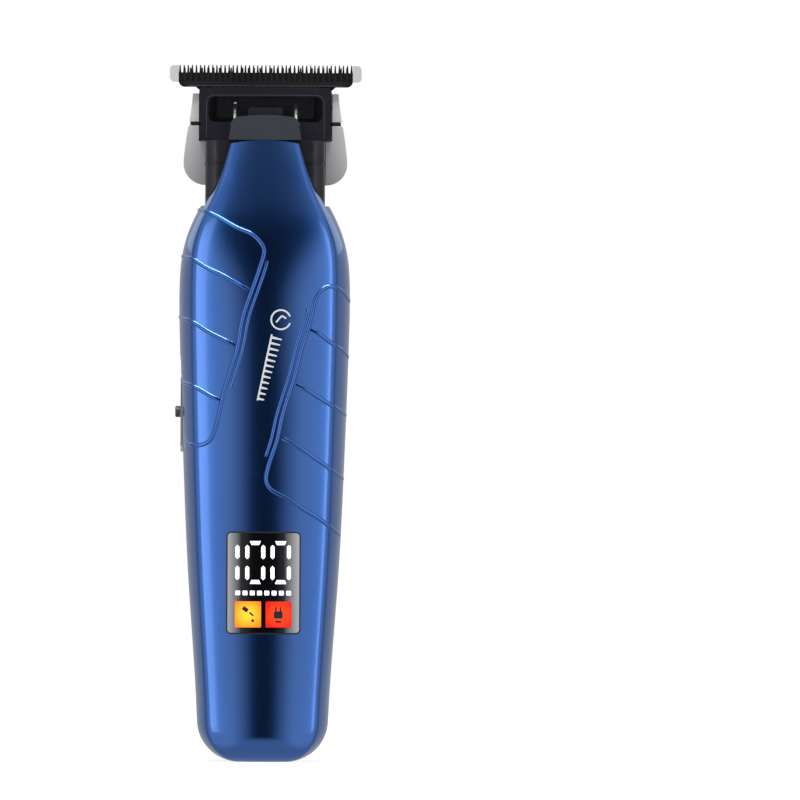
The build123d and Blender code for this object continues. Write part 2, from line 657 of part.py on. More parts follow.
def digit(x, segments):
    """Seven-segment figure, x is its left edge; a..g are the usual segment names."""
    left, right, t = x, x + DIGIT_WIDTH, DIGIT_STROKE
    low, high, mid = DIGIT_LOW, DIGIT_HIGH, (DIGIT_LOW + DIGIT_HIGH) / 2
    shapes = {
        "a": bar(left + DIGIT_NOTCH, right - DIGIT_NOTCH, high - t, high),
        "b": bar(right - t, right, mid + DIGIT_GAP, high - DIGIT_CUT),
        "c": bar(right - t, right, low + DIGIT_CUT, mid - DIGIT_GAP),
        "d": bar(left + DIGIT_NOTCH, right - DIGIT_NOTCH, low, low + t),
        "e": bar(left, left + t, low + DIGIT_CUT, mid - DIGIT_GAP),
        "f": bar(left, left + t, mid + DIGIT_GAP, high - DIGIT_CUT),
    }
    return [shapes[name] for name in segments]


def printed(sketch):
    """Thin lamp or print layer on the window's outer face."""
    lifted = body_solid(-PRINT_LIFT, MAIN_HEIGHTS) & front_prism(sketch, -20, -9)
    return lifted - body_solid(0, MAIN_HEIGHTS)


def gauge():
    """Row of charge bars under the figures."""
    lefts = [GAUGE_LEFT + i * GAUGE_PITCH for i in range(GAUGE_BARS)]
    return printed(Sketch() + [bar(left, left + 1.2, 38.0, 39.2) for left in lefts])


def oil_icon():
    bottle = Pos(-3.6, 33.6) * Rot(0, 0, -35) * RectangleRounded(1.3, 2.2, 0.3)
    spout = Pos(-2.75, 34.9) * Rot(0, 0, -35) * Rectangle(0.5, 0.9)
    return bottle + spout + Pos(-1.9, 32.2) * Circle(0.42)


def plug_icon():
    body = Pos(3.3, 33.6) * RectangleRounded(2.3, 1.5, 0.4)
    prongs = [Pos(3.3 + x, 34.8) * Rectangle(0.45, 1.2) for x in (-0.6, 0.6)]
    return body + prongs + Pos(3.3, 32.4) * Rectangle(1.0, 1.0) + Pos(3.3, 31.6) * Rectangle(0.4, 0.8)


def switch_recess():
    """Dark tray in the side of the case."""
    tray = front_box_x(-19.0, -16.9, RECESS_HALF_Y - 0.03, RECESS_BOTTOM + 0.03, RECESS_TOP - 0.03)
    inner = front_box_x(-22, PLATE_BACK - 0.08, RECESS_HALF_Y - 0.28, RECESS_BOTTOM + 0.28,
                        RECESS_TOP - 0.28)
    tray = (tray - inner) & body_solid(0.02, MAIN_HEIGHTS)
    return tray - block(-19, -16, SWITCH_Y - 1.0, SWITCH_Y + 1.0, KNOB_Z - 2.1,
                        KNOB_Z + 2.1 + SWITCH_TRAVEL)


def switch_plate():
    plate = front_box_x(-19.15, PLATE_BACK - 0.15, PLATE_HALF_Y, PLATE_BOTTOM, PLATE_TOP)
    for z in (74.0, 75.0, 76.0, 84.5, 85.5, 86.5):
        plate -= block(-20, -18.95, SWITCH_Y - 1.6, SWITCH_Y + 1.6, z - 0.2, z + 0.2)
    return plate


def switch_knob():
    knob = rod_x(SWITCH_Y, KNOB_Z, -20.4, -19.15, KNOB_RADIUS)
    outer_rim = [e for e in knob.edges() if e.center().X < -20]
    return fillet(outer_rim, 0.35)


def switch_actuator():
    """Stem through the tray floor, with the fork that moves the slide switch."""
    stem = block(PLATE_BACK - 0.15, -16.0, SWITCH_Y - 0.85, SWITCH_Y + 0.85, KNOB_Z - 1.8,
                 KNOB_Z + 1.8)
    return stem + block(-16.7, -15.9, SWITCH_Y - 1.6, SWITCH_Y + 1.6, KNOB_Z - 3, KNOB_Z + 3)


def slide_switch():
    return block(SLIDE_OUT, SLIDE_BACK, SWITCH_Y - SLIDE_HALF, SWITCH_Y + SLIDE_HALF, 74.0, 88.0)


def switch_board():
    return block(SLIDE_BACK, SLIDE_BACK + 1.0, -4.5, 5.0, 72.0, 89.0)


def port_outline(grow, corner):
    """Rounded outline of the charging port, grown all round."""
    return RectangleRounded(2 * (PORT_HALF_X + grow), 2 * (PORT_HALF_Y + grow), corner)


def usb_socket():
    """Metal socket with a back wall and the tongue inside it."""
    shell = port_outline(SOCKET_WALL, 1.5)
    socket = Pos(0, 0, SOCKET_LIFT) * extrude(shell - port_outline(0, 1.2), SOCKET_LENGTH)
    socket += Pos(0, 0, SOCKET_LIFT + SOCKET_LENGTH - 1.0) * extrude(shell, 1.0)
    return socket + block(-3.3, 3.3, -0.35, 0.35, 1.4, 6.2)


def usb_seal():
    ring = port_outline(SOCKET_WALL + SEAL_WALL, 1.6) - port_outline(SOCKET_WALL + 0.02, 1.5)
    return Pos(0, 0, SOCKET_LIFT / 2) * extrude(ring, 2.6)


def socket_board():
    return block(-8.0, 8.0, -5.0, 5.0, 7.05, 8.2)


def write(name, shape):
    """One STEP file per node."""
    solids = shape if isinstance(shape, list) else shape.solids()
    export_step(Compound(children=list(solids)) if len(solids) > 1 else solids[0],
                "parts/" + name + ".step")


case = case_shell()
write("front_shell", front_shell(case))
write("rear_shell", rear_shell(case))
for index, (screw_x, screw_z) in enumerate(CASE_SCREWS):
    write("case_screw_%d" % (index + 1), case_screw(screw_x, screw_z))
write("neck_housing", neck_housing())
write("neck_cap", neck_cap())

shield = shield_shell()
write("shield_lower", shield & block(-CLEAR, CLEAR, -CLEAR, CLEAR, 0, SHIELD_GAP_LOW))
write("shield_gasket", shield_gasket())
write("shield_upper", shield & block(-CLEAR, CLEAR, -CLEAR, CLEAR, SHIELD_GAP_HIGH, 200))

write("head_carrier", head_carrier())
write("head_base", head_base())
write("fixed_blade", fixed_blade())
write("moving_blade", moving_blade())
write("blade_follower", blade_follower())
write("blade_spring", blade_spring())
for side_name, side in (("left", -1), ("right", 1)):
    write("end_guard_" + side_name, end_guard(side))
    write("blade_screw_" + side_name, blade_screw(side))
for index, screw_x in enumerate(HEAD_SCREWS_X):
    write("head_screw_%d" % (index + 1), head_screw(screw_x))

write("motor_can", motor_can())
write("motor_end_cap", motor_end_cap())
write("motor_terminals", motor_terminals())
write("motor_bracket", motor_bracket())
write("motor_damper", motor_damper())
write("motor_shaft", motor_shaft())
write("shaft_bushing", shaft_bushing())
write("eccentric_cam", eccentric_cam())

write("battery", battery())
write("battery_tab_low", battery_tab(BATTERY_BOTTOM - TAB_THICK, BATTERY_BOTTOM))
write("battery_tab_high", battery_tab(BATTERY_TOP, BATTERY_TOP + TAB_THICK))
write("battery_cradle", battery_cradle())
write("main_board", main_board())
write("board_chips", board_chips())
write("display_module", display_module())
write("display_window", display_window())
write("display_digits", printed(Sketch() + digit(-6.4, "bcef") + digit(-2.6, "abcdef")
                                + digit(2.2, "abcdef")))
write("display_gauge", gauge())
write("oil_lamp", printed(rounded_rect(-6.5, -0.5, LAMP_LOW, LAMP_HIGH, 0.3) - oil_icon()))
write("charge_lamp", printed(rounded_rect(0.5, 6.4, LAMP_LOW, LAMP_HIGH, 0.3) - plug_icon()))

write("switch_recess", switch_recess())
write("switch_plate", switch_plate())
write("switch_knob", switch_knob())
write("switch_actuator", switch_actuator())
write("slide_switch", slide_switch())
write("switch_board", switch_board())
write("usb_socket", usb_socket())
write("usb_seal", usb_seal())
write("socket_board", socket_board())
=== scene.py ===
import json
import math

import bpy
import bmesh
import numpy as np
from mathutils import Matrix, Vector

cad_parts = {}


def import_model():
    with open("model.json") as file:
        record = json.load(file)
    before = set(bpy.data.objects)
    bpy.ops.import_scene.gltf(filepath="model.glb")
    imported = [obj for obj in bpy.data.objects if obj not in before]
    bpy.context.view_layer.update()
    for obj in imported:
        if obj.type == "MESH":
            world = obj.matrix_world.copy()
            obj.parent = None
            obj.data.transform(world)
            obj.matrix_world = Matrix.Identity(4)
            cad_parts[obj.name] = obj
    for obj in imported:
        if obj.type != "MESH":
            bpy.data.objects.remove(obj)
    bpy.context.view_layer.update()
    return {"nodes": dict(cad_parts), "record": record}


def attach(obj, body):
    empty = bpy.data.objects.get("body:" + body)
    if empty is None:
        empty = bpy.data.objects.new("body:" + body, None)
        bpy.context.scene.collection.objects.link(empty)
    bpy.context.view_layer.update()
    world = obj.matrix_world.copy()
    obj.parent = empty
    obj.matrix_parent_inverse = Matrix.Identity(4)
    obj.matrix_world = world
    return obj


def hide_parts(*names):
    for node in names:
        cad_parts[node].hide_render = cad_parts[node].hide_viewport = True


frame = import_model()
NODES = frame["nodes"]
MM = 0.001


# ---------------------------------------------------------------- materials

BLOTCH_SCALE = 60.0
COAT_ROUGHNESS = 0.05
# Shares of a lit piece at which its bright heart ends and its rim colour begins
LAMP_HEART, LAMP_RIM = 0.12, 0.62
GRAIN_DEPTH = 0.01 * MM
# Smoked pane: half width in millimetres, and the share of it that stays black before its painted reflection
# begins
PANE_HALF, PANE_DARK_SHARE = 8.4, 0.58
# Heights in millimetres between which the shield goes from painted grey shade to white
SHIELD_SHADED_Z, SHIELD_LIT_Z = 132, 152


def new_material(name):
    """A node material with one Principled shader: (material, node tree, shader)."""
    mat = bpy.data.materials.new(name)
    mat.use_nodes = True
    tree = mat.node_tree
    tree.nodes.clear()
    shader = tree.nodes.new("ShaderNodeBsdfPrincipled")
    out = tree.nodes.new("ShaderNodeOutputMaterial")
    tree.links.new(shader.outputs[0], out.inputs[0])
    return mat, tree, shader


def noise(tree, scale, detail=4.0, stretch=(1, 1, 1), rough=0.55):
    """Noise in object space, with a stretch for brushed or drawn surfaces."""
    coords = tree.nodes.new("ShaderNodeTexCoord")
    mapping = tree.nodes.new("ShaderNodeMapping")
    mapping.inputs["Scale"].default_value = stretch
    tex = tree.nodes.new("ShaderNodeTexNoise")
    tex.inputs["Scale"].default_value = scale
    tex.inputs["Detail"].default_value = detail
    tex.inputs["Roughness"].default_value = rough
    tree.links.new(coords.outputs["Object"], mapping.inputs[0])
    tree.links.new(mapping.outputs[0], tex.inputs["Vector"])
    return tex.outputs["Fac"]


def spread(tree, value, low, high, lo_in=0.3, hi_in=0.7):
    """The value mapped from lo_in..hi_in to low..high, and held at both ends."""
    node = tree.nodes.new("ShaderNodeMapRange")
    node.inputs["From Min"].default_value = lo_in
    node.inputs["From Max"].default_value = hi_in
    node.inputs["To Min"].default_value = low
    node.inputs["To Max"].default_value = high
    tree.links.new(value, node.inputs["Value"])
    return node.outputs[0]


def mix_colour(tree, fac, a, b):
    """Colour a at fac 0 and colour b at fac 1; either may be a tuple or a socket."""
    node = tree.nodes.new("ShaderNodeMix")
    node.data_type = "RGBA"
    for socket, value in ((node.inputs[6], a), (node.inputs[7], b)):
        if isinstance(value, tuple):
            socket.default_value = (*value, 1.0)
        else:
            tree.links.new(value, socket)
    tree.links.new(fac, node.inputs[0])
    return node.outputs[2]


def bump(tree, shader, height, strength, distance):
    """Surface relief from a height pattern; the distance is in metres."""
    node = tree.nodes.new("ShaderNodeBump")
    node.inputs["Strength"].default_value = strength
    node.inputs["Distance"].default_value = distance
    tree.links.new(height, node.inputs["Height"])
    tree.links.new(node.outputs[0], shader.inputs["Normal"])


def surface(name, dark, light, roughness, metallic=0.0, grain=7000.0, strength=0.12,
            stretch=(1, 1, 1), coat=0.0, specular=0.5):
    """A general finish: two tones mixed by soft blotches, uneven roughness, and a fine grain."""
    mat, tree, shader = new_material(name)
    patches = noise(tree, BLOTCH_SCALE, 3.0)
    fine = noise(tree, grain, 5.0, stretch)
    colour = mix_colour(tree, spread(tree, patches, 0, 1), dark, light)
    tree.links.new(colour, shader.inputs["Base Color"])
    tree.links.new(spread(tree, fine, roughness[0], roughness[1]), shader.inputs["Roughness"])
    shader.inputs["Metallic"].default_value = metallic
    shader.inputs["Coat Weight"].default_value = coat
    shader.inputs["Coat Roughness"].default_value = COAT_ROUGHNESS
    shader.inputs["Specular IOR Level"].default_value = specular
    bump(tree, shader, fine, strength, GRAIN_DEPTH)
    return mat


def from_middle(tree, near, far):
    """0 at the middle of the piece's front and 1 towards its rim."""
    coords = tree.nodes.new("ShaderNodeTexCoord")
    centre = tree.nodes.new("ShaderNodeVectorMath")
    centre.operation = "SUBTRACT"
    centre.inputs[1].default_value = (0.5, 0.5, 0.5)
    flat = tree.nodes.new("ShaderNodeVectorMath")
    flat.operation = "MULTIPLY"
    flat.inputs[1].default_value = (1, 0, 1)
    length = tree.nodes.new("ShaderNodeVectorMath")
    length.operation = "LENGTH"
    tree.links.new(coords.outputs["Generated"], centre.inputs[0])
    tree.links.new(centre.outputs[0], flat.inputs[0])
    tree.links.new(flat.outputs[0], length.inputs[0])
    return spread(tree, length.outputs["Value"], 0.0, 1.0, near, far)


def lamp(name, rim, middle, power):
    """A lit figure or tile: bright middle, deeper rim, slightly uneven glow."""
    mat, tree, shader = new_material(name)
    uneven = noise(tree, 400.0, 2.0)
    heart = mix_colour(tree, spread(tree, uneven, 0.0, 0.12), middle, rim)
    glow = mix_colour(tree, from_middle(tree, LAMP_HEART, LAMP_RIM), heart, rim)
    tree.links.new(glow, shader.inputs["Base Color"])
    tree.links.new(glow, shader.inputs["Emission Color"])
    shader.inputs["Emission Strength"].default_value = power
    tree.links.new(spread(tree, noise(tree, 5000), 0.2, 0.35), shader.inputs["Roughness"])
    return mat


def gradient_x(tree, start, end):
    """0 up to |x| = start and 1 from |x| = end, in metres from the clipper's middle."""
    coords = tree.nodes.new("ShaderNodeTexCoord")
    split = tree.nodes.new("ShaderNodeSeparateXYZ")
    tree.links.new(coords.outputs["Object"], split.inputs[0])
    absolute = tree.nodes.new("ShaderNodeMath")
    absolute.operation = "ABSOLUTE"
    tree.links.new(split.outputs["X"], absolute.inputs[0])
    return spread(tree, absolute.outputs[0], 0.0, 1.0, start, end)


def window_material():
    """Smoked pane: deep black in the middle, with a painted reflection that turns it silvery towards its
    two long edges.
    """
    mat, tree, shader = new_material("window_black")
    # Painted reflection: grey mixed into the black towards the pane's long edges
    silver = gradient_x(tree, PANE_HALF * MM * PANE_DARK_SHARE, PANE_HALF * MM)
    colour = mix_colour(tree, silver, (0.003, 0.003, 0.004), (0.50, 0.51, 0.52))
    tree.links.new(colour, shader.inputs["Base Color"])
    tree.links.new(spread(tree, noise(tree, 300), 0.06, 0.12), shader.inputs["Roughness"])
    shader.inputs["Coat Weight"].default_value = 0.6
    shader.inputs["Coat Roughness"].default_value = 0.03
    return mat


def shell_material():
    """Electroplated metallic blue under a clear lacquer, with a fine flake."""
    mat, tree, shader = new_material("shell_blue")
    patches = noise(tree, 25.0, 2.0)
    flake = noise(tree, 5200.0, 2.0)
    colour = mix_colour(tree, spread(tree, patches, 0, 1), (0.030, 0.128, 0.45), (0.036, 0.144, 0.49))
    colour = mix_colour(tree, spread(tree, flake, 0.0, 0.2, 0.45, 0.75), colour, (0.09, 0.24, 0.66))
    tree.links.new(colour, shader.inputs["Base Color"])
    shader.inputs["Metallic"].default_value = 1.0
    tree.links.new(spread(tree, flake, 0.15, 0.21), shader.inputs["Roughness"])
    shader.inputs["Specular Tint"].default_value = (0.42, 0.60, 0.92, 1.0)
    shader.inputs["Coat Weight"].default_value = 1.0
    shader.inputs["Coat IOR"].default_value = 1.5
    shader.inputs["Coat Roughness"].default_value = 0.07
    bump(tree, shader, flake, 0.04, GRAIN_DEPTH)
    return mat


def shield_material():
    """Satin silver lacquer, with painted shading: white at the top and shaded grey towards the foot."""
    mat, tree, shader = new_material("shield_chrome")
    coords = tree.nodes.new("ShaderNodeTexCoord")
    split = tree.nodes.new("ShaderNodeSeparateXYZ")
    tree.links.new(coords.outputs["Object"], split.inputs[0])
    # Painted shade: the colour runs from grey low down to white at the top
    height = spread(tree, split.outputs["Z"], 0.0, 1.0, SHIELD_SHADED_Z * MM, SHIELD_LIT_Z * MM)
    colour = mix_colour(tree, height, (0.50, 0.50, 0.50), (0.97, 0.97, 0.97))
    cloud = mix_colour(tree, spread(tree, noise(tree, 60.0), 0.0, 0.06), colour, (0.7, 0.7, 0.72))
    tree.links.new(cloud, shader.inputs["Base Color"])
    grain = noise(tree, 7000.0, 3.0)
    tree.links.new(spread(tree, grain, 0.24, 0.32), shader.inputs["Roughness"])
    shader.inputs["Metallic"].default_value = 0.25
    bump(tree, shader, grain, 0.05, GRAIN_DEPTH)
    return mat


MATERIALS = {
    "shell_blue": shell_material(),
    "black_plastic": surface("black_plastic", (0.007, 0.007, 0.010), (0.013, 0.012, 0.018), (0.26, 0.36)),
    "slate_plastic": surface("slate_plastic", (0.018, 0.021, 0.029), (0.025, 0.029, 0.039), (0.34, 0.44),
                             specular=0.15),
    "shield_chrome": shield_material(),
    "seal_rubber": surface("seal_rubber", (0.004, 0.004, 0.004), (0.008, 0.008, 0.008), (0.6, 0.8)),
    "carrier_black": surface("carrier_black", (0.007, 0.0065, 0.012), (0.012, 0.011, 0.019), (0.24, 0.34)),
    "blade_black": surface("blade_black", (0.010, 0.010, 0.013), (0.018, 0.018, 0.022), (0.24, 0.36), 0.2,
                           grain=2600, stretch=(0.05, 1, 4), strength=0.15),
    "follower_plastic": surface("follower_plastic", (0.006, 0.006, 0.009), (0.010, 0.010, 0.013),
                                (0.3, 0.45)),
    "spring_steel": surface("spring_steel", (0.80, 0.80, 0.81), (0.92, 0.92, 0.92), (0.34, 0.46), 1.0,
                            stretch=(1, 1, 0.1)),
    "guard_white": surface("guard_white", (0.56, 0.56, 0.55), (0.64, 0.64, 0.63), (0.22, 0.32), coat=0.3),
    "motor_steel": surface("motor_steel", (0.4, 0.4, 0.41), (0.55, 0.55, 0.56), (0.25, 0.4), 1.0,
                           stretch=(1, 1, 0.05)),
    "contact_brass": surface("contact_brass", (0.55, 0.38, 0.14), (0.72, 0.53, 0.24), (0.25, 0.4), 1.0),
    "frame_plastic": surface("frame_plastic", (0.02, 0.02, 0.022), (0.035, 0.035, 0.037), (0.45, 0.6)),
    "bushing_brass": surface("bushing_brass", (0.45, 0.30, 0.12), (0.6, 0.42, 0.2), (0.35, 0.5), 1.0),
    "cam_plastic": surface("cam_plastic", (0.62, 0.61, 0.56), (0.75, 0.74, 0.7), (0.35, 0.5)),
    "battery_wrap": surface("battery_wrap", (0.05, 0.22, 0.12), (0.08, 0.3, 0.17), (0.25, 0.35)),
    "contact_nickel": surface("contact_nickel", (0.5, 0.49, 0.45), (0.65, 0.64, 0.6), (0.25, 0.4), 1.0),
    "board_green": surface("board_green", (0.01, 0.08, 0.035), (0.015, 0.12, 0.05), (0.25, 0.35)),
    "chip_black": surface("chip_black", (0.01, 0.01, 0.01), (0.02, 0.02, 0.02), (0.5, 0.6)),
    "module_white": surface("module_white", (0.6, 0.6, 0.6), (0.75, 0.75, 0.75), (0.4, 0.5)),
    "window_black": window_material(),
    "lamp_white": lamp("lamp_white", (0.88, 0.92, 0.97), (1.0, 1.0, 1.0), 1.0),
    "lamp_orange": lamp("lamp_orange", (0.95, 0.17, 0.004), (1.0, 0.52, 0.025), 0.85),
    "lamp_red": lamp("lamp_red", (0.58, 0.005, 0.003), (0.90, 0.055, 0.003), 0.8),
    "recess_plastic": surface("recess_plastic", (0.006, 0.007, 0.012), (0.012, 0.014, 0.02), (0.4, 0.55)),
    "plate_chrome": surface("plate_chrome", (0.62, 0.63, 0.66), (0.74, 0.75, 0.78), (0.26, 0.36), 0.8,
                            stretch=(1, 1, 0.08)),
    "knob_grey": surface("knob_grey", (0.05, 0.05, 0.06), (0.09, 0.09, 0.10), (0.25, 0.4)),
    "socket_steel": surface("socket_steel", (0.42, 0.42, 0.44), (0.6, 0.6, 0.62), (0.2, 0.35), 1.0),
    "screw_steel": surface("screw_steel", (0.35, 0.35, 0.37), (0.5, 0.5, 0.52), (0.25, 0.4), 1.0),
    # Painted highlight: lighter, glossier trim for the carrier's raised rim
    "carrier_rim_highlight": surface("carrier_rim_highlight", (0.035, 0.034, 0.046), (0.05, 0.048, 0.062), (0.2, 0.3)),
    # Painted highlight: lighter steel strip along the moving blade's lower edge
    "blade_edge_highlight": surface("blade_edge_highlight", (0.10, 0.10, 0.105), (0.16, 0.16, 0.165), (0.25, 0.35), 0.6),
    "print_white": surface("print_white", (0.72, 0.73, 0.76), (0.85, 0.86, 0.88), (0.3, 0.45)),
}
SLOT_OF = {row["node"]: row["material_slot"] for row in frame["record"]["subparts"]}
for node_name, node in NODES.items():
    for index in range(len(node.material_slots)):
        node.material_slots[index].material = MATERIALS[SLOT_OF[node_name]]

# Edge radius of each bevelled CAD node, in millimetres
SOFT_EDGES = {"head_carrier": 0.22, "neck_cap": 0.25, "neck_housing": 0.15, "fixed_blade": 0.06,
              "moving_blade": 0.06, "shield_lower": 0.18, "shield_upper": 0.18, "end_guard_left": 0.25,
              "end_guard_right": 0.25, "switch_plate": 0.2, "switch_knob": 0.15, "blade_follower": 0.1,
              "head_base": 0.15, "usb_socket": 0.08}
WELD_DISTANCE = 0.002
BEVEL_ANGLE, BEVEL_SEGMENTS = 35, 2
for node_name, radius in SOFT_EDGES.items():
    node = NODES[node_name]
    weld = node.modifiers.new("weld", "WELD")
    weld.merge_threshold = WELD_DISTANCE * MM
    soft = node.modifiers.new("soft_edges", "BEVEL")
    soft.width, soft.segments = radius * MM, BEVEL_SEGMENTS
    soft.limit_method, soft.angle_limit = "ANGLE", math.radians(BEVEL_ANGLE)


# ---------------------------------------------------------------- body shape

def natural_spline(pairs):
    """Natural cubic spline through (t, value) pairs, returned as a function."""
    t, v = (np.array(column, float) for column in zip(*pairs))
    n, h = len(t), np.diff(t)
    system, right = np.eye(n), np.zeros(n)
    for i in range(1, n - 1):
        system[i, i - 1:i + 2] = h[i - 1], 2 * (h[i - 1] + h[i]), h[i]
        right[i] = 6 * ((v[i + 1] - v[i]) / h[i] - (v[i] - v[i - 1]) / h[i - 1])
    bend = np.linalg.solve(system, right)

    def value(x):
        """The spline at x, continued by its end pieces beyond the first and last pairs."""
        i = int(np.clip(np.searchsorted(t, x) - 1, 0, n - 2))
        a, b = (t[i + 1] - x) / h[i], (x - t[i]) / h[i]
        curve = ((a ** 3 - a) * bend[i] + (b ** 3 - b) * bend[i + 1]) * h[i] ** 2 / 6
        return a * v[i] + b * v[i + 1] + curve

    return value


# Millimetres against height: half width, half width of the front face, depth forward and back
HALF_WIDTH = natural_spline([(0, 14.7), (16, 15.4), (41, 17.15), (69, 18.5), (96, 19.42), (108, 19.58),
                             (116, 19.0), (121.4, 17.6), (126.9, 15.05), (131.5, 12.4), (137, 9.9),
                             (142.4, 8.5)])
FACE_HALF = natural_spline([(0, 12.4), (15, 13.05), (41, 14.6), (69, 15.7), (96, 16.4), (112, 16.5),
                            (119.5, 15.7), (124, 14.1), (129.8, 11.5), (137, 9.1), (142.4, 7.9)])
DEPTH_FRONT = natural_spline([(0, 12.9), (15, 13.5), (41, 14.7), (69, 15.4), (96, 15.9), (110, 15.95),
                              (120, 15.3), (130, 13.9), (142.4, 11.9)])
DEPTH_BACK = natural_spline([(0, 12.8), (15, 13.4), (41, 14.6), (69, 15.3), (96, 15.9), (110, 15.9),
                             (120, 15.1), (130, 13.2), (142.4, 10.6)])
FOOT_RADIUS, FOOT_DEPTH_RADIUS = 9.0, 6.6
FOOT_FACE_SHARE = 0.78
FACE_RISE = 0.132
# Middle of the side's curve, as shares of its width and of its depth
SIDE_BULGE_X, SIDE_BULGE_Y = 0.24, 0.46
BACK_POWER = 2.4
CREASE_SOFTNESS = 0.55
FACE_STEPS, SIDE_STEPS, REAR_STEPS, LINE_STEPS = 80, 60, 90, 500
HALF_STEPS = 110
FOOT_RINGS, RING_STEP, LAST_RING_GAP = 22, 0.8, 0.3
SKIN_TOLERANCE, PLATE_TOLERANCE = 1e-7, 1e-5
SEAM_Y = 3.6
BODY_TOP, TONGUE_TOP, NECK_FRONT = 127.4, 142.4, -8.05


def arc_points(a, b, c, count):
    """Points on the circle through a, b and c, from a to c."""
    a, b, c = (complex(*point) for point in (a, b, c))
    w = (c - a) / (b - a)
    centre = a - (a - b) * (w - abs(w) ** 2) / (2j * w.imag)
    start, end = np.angle(a - centre), np.angle(c - centre)
    turn = (end - start + math.pi) % (2 * math.pi) - math.pi
    angles = start + turn * np.linspace(0, 1, count)
    return np.stack([centre.real + abs(a - centre) * np.cos(angles),
                     centre.imag + abs(a - centre) * np.sin(angles)], 1)


def evenly(points, count):
    """The same polyline with count points, evenly spaced."""
    along = np.concatenate([[0], np.cumsum(np.linalg.norm(np.diff(points, axis=0), axis=1))])
    wanted = np.linspace(0, along[-1], count)
    return np.stack([np.interp(wanted, along, points[:, k]) for k in range(points.shape[1])], 1)


def foot_cut(z, radius):
    """How far the rounded foot draws the section in at height z."""
    return radius * (1 - math.sqrt(max(0.0, 1 - (max(0.0, radius - z) / radius) ** 2)))


section_cache = {}


def half_section(z):
    """Right half of the body's section at height z, from front centre to back centre."""
    key = round(z, 4)
    if key in section_cache:
        return section_cache[key]
    cut = foot_cut(z, FOOT_RADIUS)
    wide, face = HALF_WIDTH(z) - cut, FACE_HALF(z) - cut * FOOT_FACE_SHARE
    front = DEPTH_FRONT(z) - foot_cut(z, FOOT_DEPTH_RADIUS)
    back = DEPTH_BACK(z) - foot_cut(z, FOOT_DEPTH_RADIUS)
    crease = -(front - FACE_RISE * face)
    face_arc = arc_points((-face, crease), (0, -front), (face, crease), 2 * FACE_STEPS + 1)[FACE_STEPS:]
    bulge = (wide - SIDE_BULGE_X * (wide - face), SIDE_BULGE_Y * crease)
    side_arc = arc_points((face, crease), bulge, (wide, 0), SIDE_STEPS)
    t = np.linspace(0, math.pi / 2, REAR_STEPS)[1:]
    rear = np.stack([wide * np.cos(t) ** (2 / BACK_POWER), back * np.sin(t) ** (2 / BACK_POWER)], 1)
    line = evenly(np.concatenate([face_arc, side_arc[1:], rear]), LINE_STEPS)
    step = np.linalg.norm(line[1] - line[0])
    reach = int(3 * CREASE_SOFTNESS / step) + 1
    weights = np.exp(-0.5 * (np.arange(-reach, reach + 1) * step / CREASE_SOFTNESS) ** 2)
    flip = np.array([-1.0, 1.0])
    padded = np.concatenate([line[reach:0:-1] * flip, line, line[-2:-reach - 2:-1] * flip])
    smooth = np.stack([np.convolve(padded[:, k], weights / weights.sum(), "valid") for k in (0, 1)], 1)
    smooth[0, 0] = smooth[-1, 0] = 0.0
    section_cache[key] = evenly(smooth, HALF_STEPS + 1)
    return section_cache[key]


def skin_point(x, z):
    """Point and outward normal on the front of the body, for x up to the silhouette."""
    line = half_section(z)
    widest = int(np.argmax(line[:, 0]))
    xs, ys = line[:widest + 1, 0], line[:widest + 1, 1]
    across = min(abs(x), xs[-1] - 0.01)
    i = int(np.clip(np.searchsorted(xs, across), 1, widest))
    y = np.interp(across, xs, ys)
    run, rise = xs[i] - xs[i - 1], ys[i] - ys[i - 1]
    side = 1.0 if x >= 0 else -1.0
    normal = Vector((side * rise, -run, 0)).normalized()
    return Vector((side * across, y, z)), normal


def link(name, mesh, material, body="body"):
    """Adds a finished mesh as a piece that rides on a CAD body."""
    obj = bpy.data.objects.new(name, mesh)
    bpy.context.collection.objects.link(obj)
    mesh.materials.clear()
    mesh.materials.append(MATERIALS[material])
    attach(obj, body)
    return obj


def shade(mesh, angle):
    """Smooth shading, with edges sharper than the angle in degrees left hard."""
    mesh.shade_smooth()
    mesh.set_sharp_from_angle(angle=math.radians(angle))


def body_bmesh():
    """The whole outer skin as a bmesh, closed at its foot and open at the top."""
    rows = [FOOT_RADIUS * (1 - math.cos(a)) for a in np.linspace(0, math.pi / 2, FOOT_RINGS)]
    rows += list(np.arange(rows[-1] + RING_STEP, TONGUE_TOP - LAST_RING_GAP, RING_STEP)) + [TONGUE_TOP]
    bm = bmesh.new()
    rings = []
    for z in rows:
        half = half_section(z)
        full = np.concatenate([half, half[-2:0:-1] * np.array([-1.0, 1.0])])
        rings.append([bm.verts.new((x * MM, y * MM, z * MM)) for x, y in full])
    count = len(rings[0])
    for low, high in zip(rings, rings[1:]):
        for i in range(count):
            j = (i + 1) % count
            bm.faces.new((low[i], low[j], high[j], high[i]))
    bm.faces.new(list(reversed(rings[0])))
    return bm


def slice_plane(bm, point, normal, tolerance):
    """Divides every face that the plane crosses; the point is in the mesh's own units."""
    geom = bm.verts[:] + bm.edges[:] + bm.faces[:]
    bmesh.ops.bisect_plane(bm, geom=geom, dist=tolerance, plane_co=point, plane_no=normal)


def prisms(jobs):
    """Closed prisms as one mesh, each from (outline in 2D, axis, start, end)."""
    bm = bmesh.new()
    for outline, axis, start, end in jobs:
        place = {"x": lambda u, v, d: (d, u, v), "y": lambda u, v, d: (u, d, v),
                 "z": lambda u, v, d: (u, v, d)}[axis]
        ends = [[bm.verts.new([c * MM for c in place(u, v, d)]) for u, v in outline] for d in (start, end)]
        count = len(outline)
        for i in range(count):
            j = (i + 1) % count
            bm.faces.new((ends[0][i], ends[0][j], ends[1][j], ends[1][i]))
        bm.faces.new(list(reversed(ends[0])))
        bm.faces.new(ends[1])
    bmesh.ops.recalc_face_normals(bm, faces=bm.faces[:])
    mesh = bpy.data.meshes.new("prisms")
    bm.to_mesh(mesh)
    return mesh


